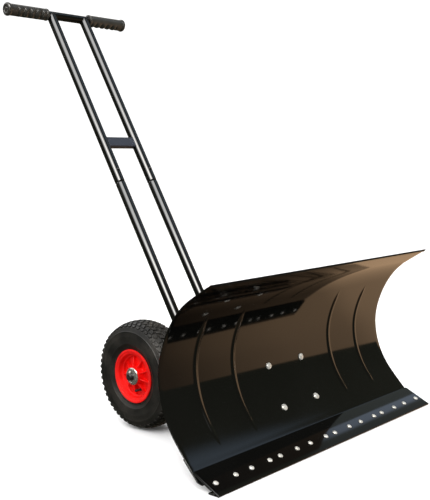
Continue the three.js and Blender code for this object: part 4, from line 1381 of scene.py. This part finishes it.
def make_surroundings():
    """A dome that only glossy rays see, painted by direction."""
    n = Nodes("surroundings")
    way = n.add("ShaderNodeVectorMath", {0: n.place()}, operation="NORMALIZE").outputs[0]
    parts = n.add("ShaderNodeSeparateXYZ", {"Vector": way}).outputs
    azimuth = n.maths("ARCTAN2", parts["Y"], parts["X"])
    elevation = n.maths("ARCSINE", parts["Z"])

    def from_azimuth(degrees):
        return n.maths("WRAP", n.maths("SUBTRACT", azimuth, radians(degrees)), pi, -pi)

    def aside(degrees, half, softness):
        """1 within half the width of an azimuth, 0 beyond its soft sides."""
        return ramp(n.maths("ABSOLUTE", from_azimuth(degrees)), half + softness, half)

    def ramp(value, low, high):
        """From 0 to 1 between two angles in degrees."""
        return n.smooth(value, radians(low), radians(high))

    def product(first, *others):
        for other in others:
            first = n.maths("MULTIPLY", first, other)
        return first

    lowest, highest = GROUND_EDGE_LIMITS
    climb = product(from_azimuth(GROUND_EDGE_ZERO), GROUND_EDGE_CLIMB)
    over = n.maths("SUBTRACT", elevation, n.maths("MAXIMUM", n.maths("MINIMUM", climb, highest), lowest))
    below_edge = ramp(over, GROUND_SOFTNESS / 2, -GROUND_SOFTNESS / 2)
    in_front = aside(GROUND_MIDDLE, GROUND_HALF_WIDTH, GROUND_SIDE_SOFTNESS)
    near = ramp(elevation, GROUND_LOW - GROUND_LOW_SOFTNESS, GROUND_LOW)
    strength = GROUND_STRENGTH[0][1]
    for (low, before), (high, after) in zip(GROUND_STRENGTH, GROUND_STRENGTH[1:]):
        strength = n.maths("ADD", strength, n.remap(parts["X"], low, high, 0, after - before))
    first, last, share = GROUND_FALL
    strength = product(strength, n.remap(azimuth, radians(first), radians(last), 1, share))
    warm = n.add("ShaderNodeVectorMath", {0: GROUND_TINT, "Scale": strength}, operation="SCALE").outputs[0]
    colour = n.blend(product(below_edge, product(in_front, near)), DARK, warm)

    slant = n.maths("ADD", elevation, product(azimuth, BAND_CLIMB))
    band = product(ramp(slant, *BAND_LEVEL), ramp(azimuth, *BAND_END), ramp(azimuth, *BAND_START))
    colour = n.blend(band, colour, BAND_COLOUR)
    for middle, half, side_soft, low, low_soft, high, high_soft, bright in SOFT_BOXES:
        above = ramp(elevation, low - low_soft, low)
        below = ramp(elevation, high + high_soft, high)
        colour = n.blend(product(aside(middle, half, side_soft), above, below), colour, bright)

    lean = product(n.maths("SUBTRACT", elevation, radians(STREAK_MIDDLE)), STREAK_LEAN)
    sides = ramp(n.maths("SUBTRACT", azimuth, lean), *STREAK_SIDE)
    ends = ramp(elevation, *STREAK_LOW), ramp(elevation, *STREAK_HIGH)
    colour = n.blend(product(sides, *ends, ramp(azimuth, *STREAK_START)), colour, STREAK_COLOUR)
    emission = n.add("ShaderNodeEmission", {"Color": colour, "Strength": 1.0})
    n.add("ShaderNodeOutputMaterial", {"Surface": emission.outputs[0]})

    mesh = bpy.data.meshes.new("surroundings")
    work = bmesh.new()
    bmesh.ops.create_uvsphere(work, u_segments=48, v_segments=24, radius=DOME_RADIUS)
    work.to_mesh(mesh)
    work.free()
    dome = staged("surroundings", mesh, n.material)
    for kind in ("camera", "diffuse", "shadow", "transmission", "volume_scatter"):
        setattr(dome, f"visible_{kind}", False)


def area_light(name, place, target, size, power):
    light = bpy.data.lights.new(name, "AREA")
    light.shape = "DISK"
    light.size = size
    light.energy = power
    obj = bpy.data.objects.new(name, light)
    scene.collection.objects.link(obj)
    obj.location = place
    obj.rotation_euler = (Vector(target) - Vector(place)).to_track_quat("-Z", "Y").to_euler()
    obj.visible_glossy = False


def make_light():
    world = bpy.data.worlds.new("studio")
    scene.world = world
    world.use_nodes = True
    tree = world.node_tree
    background = tree.nodes["Background"]
    background.inputs["Color"].default_value = (1, 1, 1, 1)
    way = tree.nodes.new("ShaderNodeTexCoord").outputs["Generated"]
    split = tree.nodes.new("ShaderNodeSeparateXYZ")
    level = tree.nodes.new("ShaderNodeMapRange")
    tree.links.new(way, split.inputs[0])
    tree.links.new(split.outputs["Z"], level.inputs["Value"])
    for key, value in (("From Min", -0.4), ("From Max", -0.15), ("To Min", 0.3), ("To Max", 1.2)):
        level.inputs[key].default_value = value
    tree.links.new(level.outputs[0], background.inputs["Strength"])
    middle = (0, 0, 0.45)
    area_light("key", (-2.6, -1.8, 3.0), middle, 2.4, 90)
    area_light("fill", (2.4, -2.6, 2.2), middle, 2.6, 40)
    area_light("rim", (0.4, 3.0, 2.6), middle, 2.2, 50)


make_floor()
make_surroundings()
make_light()
scene.view_settings.view_transform = "Standard"
